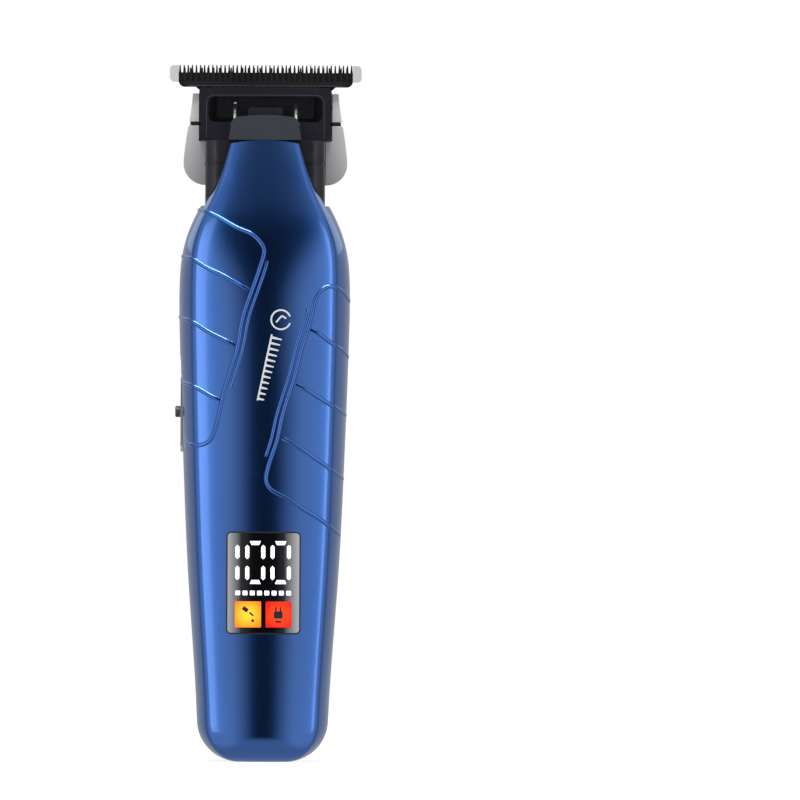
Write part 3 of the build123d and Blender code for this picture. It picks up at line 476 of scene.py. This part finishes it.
def round_rect(u0, u1, v0, v1, radius, steps=7):
    """Outline of a rectangle with rounded corners."""
    corners = ((u1 - radius, v1 - radius, 0), (u0 + radius, v1 - radius, 90),
               (u0 + radius, v0 + radius, 180), (u1 - radius, v0 + radius, 270))
    return [(u + radius * math.cos(math.radians(a0 + 90 * k / steps)),
             v + radius * math.sin(math.radians(a0 + 90 * k / steps)))
            for u, v, a0 in corners for k in range(steps + 1)]


def circle(u, v, radius, steps=32):
    """Outline of a circle."""
    angles = [2 * math.pi * k / steps for k in range(steps)]
    return [(u + radius * math.cos(a), v + radius * math.sin(a)) for a in angles]


def carve(mesh, holes, wall):
    """Thickens an open skin inwards and cuts the holes through it; returns a new mesh."""
    obj = bpy.data.objects.new("carving", mesh)
    bpy.context.collection.objects.link(obj)
    thick = obj.modifiers.new("wall", "SOLIDIFY")
    thick.thickness, thick.offset = wall * MM, -1.0
    tool = bpy.data.objects.new("tool", prisms(holes))
    bpy.context.collection.objects.link(tool)
    cut = obj.modifiers.new("cut", "BOOLEAN")
    cut.operation, cut.solver, cut.object = "DIFFERENCE", "EXACT", tool
    graph = bpy.context.evaluated_depsgraph_get()
    result = bpy.data.meshes.new_from_object(obj.evaluated_get(graph))
    for item in (obj, tool):
        bpy.data.objects.remove(item, do_unlink=True)
    return result


# Openings and walls of the case, in millimetres
SWITCH_MID_Y, RECESS_HALF_Y = 0.2, 2.75
RECESS_LOW, RECESS_HIGH, RECESS_RADIUS = 70.6, 93.0, 1.28
RECESS_FLOOR_X = -16.0
PORT_HALF_X, PORT_HALF_Y, PORT_RADIUS, PORT_TOP = 5.1, 2.2, 1.6, 6
CASE_SCREWS = [(-6.5, 10.6), (6.5, 10.6), (-8.0, 124.2), (8.0, 124.2)]
SCREW_HOLE, SCREW_FLOOR_Y = 1.9, 9.2
OUTSIDE, UNDER_FOOT = 24, -2
SEAM_GAP = 0.05
ARCH_START, ARCH_DROP = 136.0, 0.95
WALL = 1.7
CASE_ANGLE = 32
MIDDLE_Z = 60


def shells():
    """Front and rear case halves, parted by a hairline seam at each side."""
    recess = round_rect(SWITCH_MID_Y - RECESS_HALF_Y, SWITCH_MID_Y + RECESS_HALF_Y, RECESS_LOW,
                        RECESS_HIGH, RECESS_RADIUS)
    port = round_rect(-PORT_HALF_X, PORT_HALF_X, -PORT_HALF_Y, PORT_HALF_Y, PORT_RADIUS)
    jobs = [("front_case", "front_shell", SEAM_Y - SEAM_GAP, False,
             [(recess, "x", -OUTSIDE, RECESS_FLOOR_X), (port, "z", UNDER_FOOT, PORT_TOP)]),
            ("rear_case", "rear_shell", SEAM_Y + SEAM_GAP, True,
             [(circle(x, z, SCREW_HOLE), "y", SCREW_FLOOR_Y, OUTSIDE) for x, z in CASE_SCREWS])]
    for name, node, seam, is_rear, holes in jobs:
        bm = body_bmesh()
        slice_plane(bm, (0, seam * MM, 0), (0, 1, 0), SKIN_TOLERANCE)
        slice_plane(bm, (0, 0, BODY_TOP * MM), (0, 0, 1), SKIN_TOLERANCE)
        if not is_rear:
            slice_plane(bm, (0, NECK_FRONT * MM, 0), (0, 1, 0), SKIN_TOLERANCE)
        for vert in bm.verts:
            above = max(0.0, vert.co.z / MM - ARCH_START) / (TONGUE_TOP - ARCH_START)
            vert.co.z -= ARCH_DROP * MM * above ** 2 * (vert.co.x / MM / HALF_WIDTH(TONGUE_TOP)) ** 2
        drop = []
        for face in bm.faces:
            c = face.calc_center_median() / MM
            above = c.z > BODY_TOP and (is_rear or c.y > NECK_FRONT)
            if above or (c.y < seam) == is_rear:
                drop.append(face)
        bmesh.ops.delete(bm, geom=drop, context="FACES")
        bmesh.ops.recalc_face_normals(bm, faces=bm.faces[:])
        mesh = bpy.data.meshes.new(name)
        bm.to_mesh(mesh)
        outward = sum(poly.normal.dot(poly.center - Vector((0, 0, MIDDLE_Z * MM))) * poly.area
                      for poly in mesh.polygons)
        if outward < 0:
            mesh.flip_normals()
        mesh = carve(mesh, holes, WALL)
        shade(mesh, CASE_ANGLE)
        mesh.name = name
        obj = link(name, mesh, "shell_blue")
        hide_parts(node)


# ---------------------------------------------------------------- ribs, display and mark

# Paths of the ribs, as x and z in millimetres
LEFT_LOOP = [(-15.6, 126.4), (-13.2, 125.9), (-9.6, 124.2), (-5.8, 122.1), (-2.8, 120.8), (-0.6, 118.6),
             (0.0, 117.2), (-0.7, 114.0), (-2.8, 107.8), (-5.0, 101.1), (-6.0, 95.0), (-8.6, 86.4),
             (-10.2, 79.5), (-11.2, 75.6), (-12.6, 73.3), (-15.0, 72.5), (-16.9, 72.8), (-18.0, 74.0)]
LEFT_CROSS = [[(-19.3, 115.8), (-16.6, 115.2), (-13.8, 113.5), (-9.6, 111.5), (-5.7, 109.3), (-2.9, 107.9)],
              [(-19.6, 101.9), (-16.3, 100.7), (-13.4, 98.9), (-9.3, 96.8), (-6.1, 95.2)],
              [(-18.7, 87.1), (-15.0, 85.5), (-12.2, 83.9), (-9.4, 82.6)]]
RIGHT_LOOP = [(19.7, 105.4), (18.3, 107.3), (16.9, 108.5), (14.9, 109.0), (13.2, 108.2), (12.2, 107.0),
              (11.5, 105.0), (10.3, 100.0), (9.0, 95.9), (7.2, 88.8), (5.8, 84.3), (4.1, 78.4),
              (3.2, 74.0), (1.5, 68.8), (0.8, 66.1), (0.7, 64.5), (1.5, 62.8), (2.9, 61.8),
              (6.0, 60.2), (9.1, 58.1), (12.2, 56.3), (16.0, 53.4), (17.7, 51.8)]
RIGHT_CROSS = [[(10.2, 99.3), (12.8, 98.0), (15.2, 96.2), (18.3, 94.1), (19.5, 92.4)],
               [(7.0, 86.7), (9.9, 85.3), (13.2, 83.2), (16.5, 81.2), (19.1, 79.3)],
               [(3.8, 74.5), (7.0, 72.9), (11.1, 70.2), (14.8, 67.6), (18.4, 64.8)]]
CHANNELS = [[(0.9, 115.6), (0.4, 113.4), (-1.6, 107.4), (-3.7, 100.8), (-4.8, 94.8), (-6.6, 88.6),
             (-7.5, 85.2)],
            [(10.1, 104.6), (8.9, 99.9), (7.6, 95.8), (5.9, 88.8), (4.5, 84.3), (2.8, 78.4), (1.9, 74.2),
             (0.3, 69.2)]]
RIB_WIDTH, RIB_HEIGHT, RIB_STEP = 1.05, 0.44, 0.6
CHANNEL_WIDTH, CHANNEL_HEIGHT = RIB_WIDTH * 0.8, RIB_HEIGHT * 0.7
# The ridge's foot lies under the skin; its ends fade out over a few rings
RIB_SINK, FADE_RINGS, FADE_START, LEAST_RINGS = 0.12, 4.0, 0.4, 8
RIB_SIDES = 8
RIB_ANGLE = 50
CHORD_POWER, SAMPLES_PER_CHORD = 0.6, 12


def curve_through(points):
    """Smooth 2D path through the points (natural splines over a softened chord length)."""
    points = np.array(points)
    steps = np.linalg.norm(np.diff(points, axis=0), axis=1) ** CHORD_POWER
    chord = np.concatenate([[0], np.cumsum(steps)])
    fx, fz = (natural_spline(list(zip(chord, points[:, k]))) for k in (0, 1))
    return [(fx(t), fz(t)) for t in np.linspace(0, chord[-1], int(chord[-1] * SAMPLES_PER_CHORD) + 2)]


def rib_mesh(bm, points, width, height):
    """A low rounded ridge that follows the skin and fades into it at both ends."""
    spots = [skin_point(x, z) for x, z in curve_through(points)]
    length = sum((b[0] - a[0]).length for a, b in zip(spots, spots[1:]))
    places = evenly(np.array([list(p) + list(n) for p, n in spots]),
                    max(LEAST_RINGS, int(length / RIB_STEP)))
    rings = []
    for i, row in enumerate(places):
        here, normal = Vector(row[:3]), Vector(row[3:]).normalized()
        before, after = places[max(i - 1, 0)][:3], places[min(i + 1, len(places) - 1)][:3]
        side = normal.cross(Vector(after - before)).normalized()
        end = min(i, len(places) - 1 - i)
        lift = height * min(1.0, (end + FADE_START) / FADE_RINGS)
        ring = []
        for k in range(RIB_SIDES + 1):
            a = math.pi * k / RIB_SIDES
            out = lift * math.sin(a) - RIB_SINK
            ring.append(bm.verts.new((here + side * (width / 2 * math.cos(a)) + normal * out) * MM))
        rings.append(ring)
    for low, high in zip(rings, rings[1:]):
        for k in range(RIB_SIDES + 1):
            j = (k + 1) % (RIB_SIDES + 1)
            bm.faces.new((low[k], low[j], high[j], high[k]))
    bm.faces.new(rings[0])
    bm.faces.new(list(reversed(rings[-1])))


def ribs():
    """All grip ribs and the two shallow lines beside them, as one piece."""
    bm = bmesh.new()
    for points in [LEFT_LOOP, RIGHT_LOOP] + LEFT_CROSS + RIGHT_CROSS:
        rib_mesh(bm, points, RIB_WIDTH, RIB_HEIGHT)
    for points in CHANNELS:
        rib_mesh(bm, points, CHANNEL_WIDTH, CHANNEL_HEIGHT)
    bmesh.ops.recalc_face_normals(bm, faces=bm.faces[:])
    mesh = bpy.data.meshes.new("grip_ribs")
    bm.to_mesh(mesh)
    shade(mesh, RIB_ANGLE)
    link("grip_ribs", mesh, "shell_blue")


# Plates are divided this finely, so that they bend with the skin
PLATE_HALF, PLATE_STEP_X, PLATE_STEP_Z = 9.0, 0.75, 1.0
PLATE_ANGLE = 30


def decal(name, outlines, lift, depth, material, replaces=()):
    """Thin plates that hug the front of the body; outlines are lists of (x, z)."""
    bm = bmesh.new()
    for outline in outlines:
        bm.faces.new([bm.verts.new((x, 0, z)) for x, z in outline])
    low, high = (pick(z for outline in outlines for x, z in outline) for pick in (min, max))
    cuts = [((x, 0, 0), (1, 0, 0)) for x in np.arange(-PLATE_HALF, PLATE_HALF + 0.1, PLATE_STEP_X)]
    cuts += [((0, 0, z), (0, 0, 1)) for z in np.arange(low + PLATE_STEP_Z, high, PLATE_STEP_Z)]
    for point, normal in cuts:
        slice_plane(bm, point, normal, PLATE_TOLERANCE)
    bmesh.ops.triangulate(bm, faces=[f for f in bm.faces if len(f.verts) > 4])
    for vert in bm.verts:
        place, normal = skin_point(vert.co.x, vert.co.z)
        vert.co = (place + normal * lift) * MM
    bm.normal_update()
    for face in bm.faces:
        if face.normal.y > 0:
            face.normal_flip()
    solid = bmesh.ops.extrude_face_region(bm, geom=bm.faces[:])
    for vert in [g for g in solid["geom"] if isinstance(g, bmesh.types.BMVert)]:
        vert.co.y += depth * MM
    bmesh.ops.recalc_face_normals(bm, faces=bm.faces[:])
    mesh = bpy.data.meshes.new(name)
    bm.to_mesh(mesh)
    shade(mesh, PLATE_ANGLE)
    obj = link(name, mesh, material)
    if replaces:
        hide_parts(*replaces)


def bar(x0, x1, z0, z1, chamfer):
    """Outline of a rectangle with cut corners."""
    return [(x0 + chamfer, z0), (x1 - chamfer, z0), (x1, z0 + chamfer), (x1, z1 - chamfer),
            (x1 - chamfer, z1), (x0 + chamfer, z1), (x0, z1 - chamfer), (x0, z0 + chamfer)]


def turned(outline, u, v, degrees):
    """The outline turned about the origin and moved to (u, v)."""
    c, s = math.cos(math.radians(degrees)), math.sin(math.radians(degrees))
    return [(u + x * c - y * s, v + x * s + y * c) for x, y in outline]


def ring_outlines(u, v, radius, width, start, end, steps=40):
    """A ring from start to end in degrees, as short four-sided pieces."""
    angles = [math.radians(start + (end - start) * k / steps) for k in range(steps + 1)]
    outer, inner = radius + width / 2, radius - width / 2
    return [[(u + r * math.cos(turn), v + r * math.sin(turn))
             for r, turn in ((outer, a), (outer, b), (inner, b), (inner, a))]
            for a, b in zip(angles, angles[1:])]


def stroke(points, width):
    """A polyline as four-sided pieces of even width."""
    pieces = []
    for (x0, y0), (x1, y1) in zip(points, points[1:]):
        length = math.hypot(x1 - x0, y1 - y0)
        nx, ny = -(y1 - y0) / length * width / 2, (x1 - x0) / length * width / 2
        pieces.append([(x0 + nx, y0 + ny), (x0 - nx, y0 - ny), (x1 - nx, y1 - ny), (x1 + nx, y1 + ny)])
    return pieces


# Display, in millimetres of x and z on the front face
WINDOW = (-8.2, 8.6, 29.5, 52.75)
WINDOW_RADIUS, BORDER_OUT, PANE_IN = 1.0, 0.12, 0.22
DIGIT_LOW, DIGIT_HIGH = 40.9, 50.7
DIGIT_STROKE, DIGIT_GAP, DIGIT_SLANT, DIGIT_LAP, DIGIT_WAIST = 0.9, 0.12, 0.4, 0.1, 0.8
ONE_LEFT = -6.2
ZEROS = [(-3.95, 0.6), (1.82, 6.45)]
GAUGE_LEFT, GAUGE_PITCH, GAUGE_WIDTH, GAUGE_COUNT = -6.2, 1.66, 1.1, 8
GAUGE_LOW, GAUGE_HIGH, GAUGE_CHAMFER = 38.3, 39.35, 0.12
TILE_LOW, TILE_HIGH, TILE_RADIUS = 30.95, 36.9, 0.25
OIL_TILE, CHARGE_TILE = (-6.28, -0.3), (0.72, 6.68)
# Bottle and spout: half sizes, corner radius, and (x, z, turn in degrees)
OIL_PARTS = [(0.68, 0.45, 0.12, (-3.9, 35.1, -35)), (0.6, 0.2, 0.1, (-2.5, 34.0, -42))]
DROP = (-2.2, 32.5, 0.34, 16)
# Plug body, two prongs and the line: spans in x and z, corner radius, steps in a corner
PLUG_PARTS = [(2.6, 4.65, 33.0, 34.65, 0.4, 4), (2.9, 3.25, 34.6, 35.65, 0.12, 3),
              (3.95, 4.3, 34.6, 35.65, 0.12, 3), (2.9, 4.35, 32.1, 32.5, 0.12, 3)]
BORDER_LIFT, PANE_LIFT, LAMP_LIFT, SYMBOL_LIFT = 0.03, 0.07, 0.10, 0.13
PANE_DEPTH, LAMP_DEPTH, SYMBOL_DEPTH = 0.4, 0.05, 0.04


def framed(grow, radius):
    """The window's outline, grown on all sides."""
    left, right, low, high = WINDOW
    return round_rect(left - grow, right + grow, low - grow, high + grow, radius)


def figures():
    """The segments of a one and two zeros."""
    middle = (DIGIT_LOW + DIGIT_HIGH) / 2
    clear = DIGIT_STROKE + DIGIT_GAP
    uprights = [(middle + DIGIT_WAIST, DIGIT_HIGH - clear + DIGIT_LAP),
                (DIGIT_LOW + clear - DIGIT_LAP, middle - DIGIT_WAIST)]
    segments = [bar(ONE_LEFT, ONE_LEFT + DIGIT_STROKE, low, high, DIGIT_SLANT) for low, high in uprights]
    for left, right in ZEROS:
        for low, high in uprights:
            segments.append(bar(left, left + DIGIT_STROKE, low, high, DIGIT_SLANT))
            segments.append(bar(right - DIGIT_STROKE, right, low, high, DIGIT_SLANT))
        for outer, inner in ((DIGIT_HIGH, DIGIT_HIGH - DIGIT_STROKE),
                             (DIGIT_LOW, DIGIT_LOW + DIGIT_STROKE)):
            segments.append([(left + clear, outer), (right - clear, outer),
                             (right - clear - DIGIT_SLANT, inner), (left + clear + DIGIT_SLANT, inner)])
    return segments


def symbols():
    """An oil bottle with its spout and a drop, and a mains plug over a line."""
    oil = [turned(round_rect(-u, u, -v, v, radius, 3), *place) for u, v, radius, place in OIL_PARTS]
    return oil + [circle(*DROP)] + [round_rect(*part) for part in PLUG_PARTS]


def display():
    """Pane with a border, three figures, a charge gauge and two symbol lamps."""
    decal("display_border", [framed(BORDER_OUT, WINDOW_RADIUS + BORDER_OUT)], BORDER_LIFT, PANE_DEPTH,
          "recess_plastic")
    decal("display_pane", [framed(-PANE_IN, WINDOW_RADIUS - PANE_IN)], PANE_LIFT, PANE_DEPTH,
          "window_black", ("display_window",))
    decal("display_figures", figures(), LAMP_LIFT, LAMP_DEPTH, "lamp_white", ("display_digits",))
    starts = [GAUGE_LEFT + GAUGE_PITCH * k for k in range(GAUGE_COUNT)]
    gauge = [bar(x, x + GAUGE_WIDTH, GAUGE_LOW, GAUGE_HIGH, GAUGE_CHAMFER) for x in starts]
    decal("display_gauge_bars", gauge, LAMP_LIFT, LAMP_DEPTH, "lamp_white", ("display_gauge",))
    for name, span, material, node in (("oil_tile", OIL_TILE, "lamp_orange", "oil_lamp"),
                                       ("charge_tile", CHARGE_TILE, "lamp_red", "charge_lamp")):
        decal(name, [round_rect(*span, TILE_LOW, TILE_HIGH, TILE_RADIUS)], LAMP_LIFT, LAMP_DEPTH,
              material, (node,))
    decal("lamp_symbols", symbols(), SYMBOL_LIFT, SYMBOL_DEPTH, "recess_plastic")


# Printed mark: ring with a hand in it, and the comb below, turned about its top
RING_X, RING_Z, RING_RADIUS, RING_LINE, RING_START, RING_END = 3.9, 101.3, 2.2, 0.38, 20, 340
HAND = [(-1.1, -0.6), (0.2, 0.9), (1.2, 0.3)]
COMB_X, COMB_Z, COMB_TILT, COMB_LENGTH = 2.0, 97.9, -12.0, 15.4
COMB_SPINE = (-0.35, 0.05)
TOOTH_COUNT, TOOTH_PITCH, TOOTH_REACH, TOOTH_TAPER = 12, 1.3, 2.3, 0.09
TOOTH_ROOT, TOOTH_TIP = (-0.4, -0.95), (-0.55, -0.85)
PRINT_LIFT, PRINT_DEPTH = 0.03, 0.03


def mark():
    """Generic printed mark: a ring with a comb under it, slanting down the front face."""
    outlines = ring_outlines(RING_X, RING_Z, RING_RADIUS, RING_LINE, RING_START, RING_END)
    outlines += stroke([(RING_X + x, RING_Z + z) for x, z in HAND], RING_LINE)
    left, right = COMB_SPINE
    comb = [[(left, 0), (right, 0), (right, -COMB_LENGTH), (left, -COMB_LENGTH)]]
    for k in range(TOOTH_COUNT):
        reach, drop = TOOTH_REACH - TOOTH_TAPER * k, TOOTH_PITCH * k
        comb.append([(right, TOOTH_ROOT[0] - drop), (reach, TOOTH_TIP[0] - drop),
                     (reach, TOOTH_TIP[1] - drop), (right, TOOTH_ROOT[1] - drop)])
    outlines += [turned(outline, COMB_X, COMB_Z, COMB_TILT) for outline in comb]
    decal("printed_mark", outlines, PRINT_LIFT, PRINT_DEPTH, "print_white")


# Trim: the front planes that it lies on, how far it stands out and sinks in, and its paths
CARRIER_FRONT, BLADE_FRONT = -5.2, -0.75
TRIM_OUT, TRIM_IN = 0.09, 0.05
RIM_WIDTH, EDGE_WIDTH = 0.22, 0.16
RIM_PATH = [(-13.5, 143.0), (-13.5, 151.3), (-13.1, 152.3), (-12.1, 152.8), (12.1, 152.8), (13.1, 152.3),
            (13.5, 151.3), (13.5, 143.0)]
EDGE_PATH = [(-17.7, 155.05), (17.7, 155.05)]


def trim_lines():
    """Raised line round the carrier's front and a strip on the moving blade's lower edge, both lighter as
    painted highlights.
    """
    # The carrier's rim is lighter than the carrier: a painted highlight on its raised line
    jobs = [("carrier_rim", RIM_PATH, RIM_WIDTH, CARRIER_FRONT, "carrier_black", "carrier_rim_highlight", "body"),
            # The blade's lower edge is lighter than the blade: a painted highlight
            ("blade_edge", EDGE_PATH, EDGE_WIDTH, BLADE_FRONT, "blade_black", "blade_edge_highlight", "cutter")]
    for name, points, width, front, slot, material, body in jobs:
        mesh = prisms([(piece, "y", front - TRIM_OUT, front + TRIM_IN) for piece in stroke(points, width)])
        mesh.name = name
        link(name, mesh, material, body)


shells()
ribs()
display()
mark()
trim_lines()


# ---------------------------------------------------------------- studio

FLOOR_RADIUS = 0.45
FLOOR_DARK, FLOOR_LIGHT = (0.20, 0.20, 0.20), (0.22, 0.22, 0.22)
# Light that the floor gives off: to the clipper, and to the eye
FLOOR_GLOW = (0.15, 0.86)
# The room that the clipper reflects: its light levels, and where along an axis each one starts and
# ends. A range of four numbers is (level, level, start, end).
DARK_LEVEL, SIDE_LEVEL, BACK_LEVEL, TOP_LEVEL, FLOOR_LEVEL = 0.02, 0.83, 0.40, 0.75, 0.5
STRIP_EDGE = (0.09, 0.27)
STRIP_WIDENING = (0.0, 0.3, 0.03, 0.35)
SIDE_FADE = (1.0, 0.5, -0.6, 0.05)
BACK_RANGE, TOP_RANGE, BELOW_RANGE = (0.0, 0.4), (0.30, 0.50), (-0.6, -0.3)
ROOM_TINT = (0.95, 0.97, 1.0, 1.0)
CAMERA_X, CAMERA_Z, CAMERA_DISTANCE = 31.2 * MM, 83.1 * MM, 3.0
CAMERA_ROLL = -0.3
PICTURE_WIDTH, SENSOR_WIDTH = 183.7 * MM, 36.0
CLIP_END = 20.0
LIGHT_AIM = (0, 0, 0.085)
LIGHT_DISTANCE = 1.5
# Softboxes: azimuth and elevation in degrees, width and height in metres, watts
SOFTBOXES = {"left_box": (-30, 5, 0.26, 0.9, 1.1), "right_box": (32, 5, 0.24, 0.9, 0.9),
             "front_fill": (0, 68, 0.9, 0.4, 20), "rear_left": (-150, 18, 0.5, 0.6, 0.35),
             "rear_right": (150, 18, 0.5, 0.6, 0.35)}


def floor():
    """Pale round floor, bright to the eye and dim to what stands on it; clear from below."""
    mat, tree, shader = new_material("studio_white")
    colour = mix_colour(tree, spread(tree, noise(tree, 3.0), 0, 1), FLOOR_DARK, FLOOR_LIGHT)
    tree.links.new(colour, shader.inputs["Base Color"])
    shader.inputs["Roughness"].default_value = 0.9
    shader.inputs["Specular IOR Level"].default_value = 0.0
    shader.inputs["Emission Color"].default_value = (1, 1, 1, 1)
    path = tree.nodes.new("ShaderNodeLightPath")
    glow = spread(tree, path.outputs["Is Camera Ray"], *FLOOR_GLOW, 0.0, 1.0)
    tree.links.new(glow, shader.inputs["Emission Strength"])
    clear = tree.nodes.new("ShaderNodeBsdfTransparent")
    side = tree.nodes.new("ShaderNodeNewGeometry")
    mix = tree.nodes.new("ShaderNodeMixShader")
    tree.links.new(side.outputs["Backfacing"], mix.inputs[0])
    tree.links.new(shader.outputs[0], mix.inputs[1])
    tree.links.new(clear.outputs[0], mix.inputs[2])
    tree.links.new(mix.outputs[0], tree.nodes["Material Output"].inputs[0])
    verts = [(x, y, 0.0) for x, y in circle(0, 0, FLOOR_RADIUS, 96)]
    mesh = bpy.data.meshes.new("floor")
    mesh.from_pydata(verts, [], [tuple(range(len(verts)))])
    mesh.materials.append(mat)
    obj = bpy.data.objects.new("floor", mesh)
    bpy.context.collection.objects.link(obj)
    obj.visible_glossy = False


def softbox(name, azimuth, elevation, width, height, watts):
    """Area light aimed at the clipper. Azimuth 0 is in front (-Y), positive to its right (+X)."""
    aim = Vector(LIGHT_AIM)
    a, e = math.radians(azimuth), math.radians(elevation)
    way = Vector((math.sin(a) * math.cos(e), -math.cos(a) * math.cos(e), math.sin(e)))
    spot = aim + LIGHT_DISTANCE * way
    light = bpy.data.lights.new(name, "AREA")
    light.shape = "RECTANGLE"
    light.size, light.size_y = width, height
    light.energy = watts
    obj = bpy.data.objects.new(name, light)
    obj.location = spot
    obj.rotation_euler = (aim - spot).to_track_quat("-Z", "Y").to_euler()
    bpy.context.collection.objects.link(obj)


def world():
    """White behind the clipper; what it reflects is a white room with a dark strip in front."""
    node_world = bpy.data.worlds.new("studio")
    node_world.use_nodes = True
    bpy.context.scene.world = node_world
    tree = node_world.node_tree
    room = tree.nodes["Background"]
    seen = tree.nodes.new("ShaderNodeBackground")
    seen.inputs[0].default_value = (1, 1, 1, 1)
    coords = tree.nodes.new("ShaderNodeTexCoord")
    split = tree.nodes.new("ShaderNodeSeparateXYZ")
    tree.links.new(coords.outputs["Generated"], split.inputs[0])

    def calculate(operation, *values):
        """The result of a math node."""
        node = tree.nodes.new("ShaderNodeMath")
        node.operation = operation
        for socket, value in zip(node.inputs, values):
            tree.links.new(value, socket)
        return node.outputs[0]

    rise = spread(tree, split.outputs["Z"], *STRIP_WIDENING)
    across = calculate("SUBTRACT", calculate("ABSOLUTE", split.outputs["X"]), rise)
    sides = spread(tree, across, DARK_LEVEL, SIDE_LEVEL, *STRIP_EDGE)
    sides = calculate("MULTIPLY", sides, spread(tree, split.outputs["Y"], *SIDE_FADE))
    behind = spread(tree, split.outputs["Y"], 0.0, BACK_LEVEL, *BACK_RANGE)
    above = spread(tree, split.outputs["Z"], 0.0, TOP_LEVEL, *TOP_RANGE)
    below = spread(tree, split.outputs["Z"], FLOOR_LEVEL, 0.0, *BELOW_RANGE)
    level = calculate("MAXIMUM", sides, behind)
    for part in (above, below):
        level = calculate("MAXIMUM", level, part)
    room.inputs[0].default_value = ROOM_TINT
    tree.links.new(level, room.inputs[1])
    path = tree.nodes.new("ShaderNodeLightPath")
    mix = tree.nodes.new("ShaderNodeMixShader")
    tree.links.new(path.outputs["Is Camera Ray"], mix.inputs[0])
    tree.links.new(room.outputs[0], mix.inputs[1])
    tree.links.new(seen.outputs[0], mix.inputs[2])
    tree.links.new(mix.outputs[0], tree.nodes["World Output"].inputs[0])


def camera():
    """Front view with a long lens; the clipper stands left of the middle of the picture."""
    data = bpy.data.cameras.new("camera")
    data.sensor_width = SENSOR_WIDTH
    data.lens = SENSOR_WIDTH * CAMERA_DISTANCE / PICTURE_WIDTH
    data.clip_end = CLIP_END
    obj = bpy.data.objects.new("camera", data)
    obj.location = (CAMERA_X, -CAMERA_DISTANCE, CAMERA_Z)
    obj.rotation_euler = (math.radians(90), math.radians(CAMERA_ROLL), 0)
    bpy.context.collection.objects.link(obj)
    bpy.context.scene.camera = obj


floor()
world()
camera()
for light_name, settings in SOFTBOXES.items():
    softbox(light_name, *settings)
bpy.context.scene.view_settings.view_transform = "Standard"
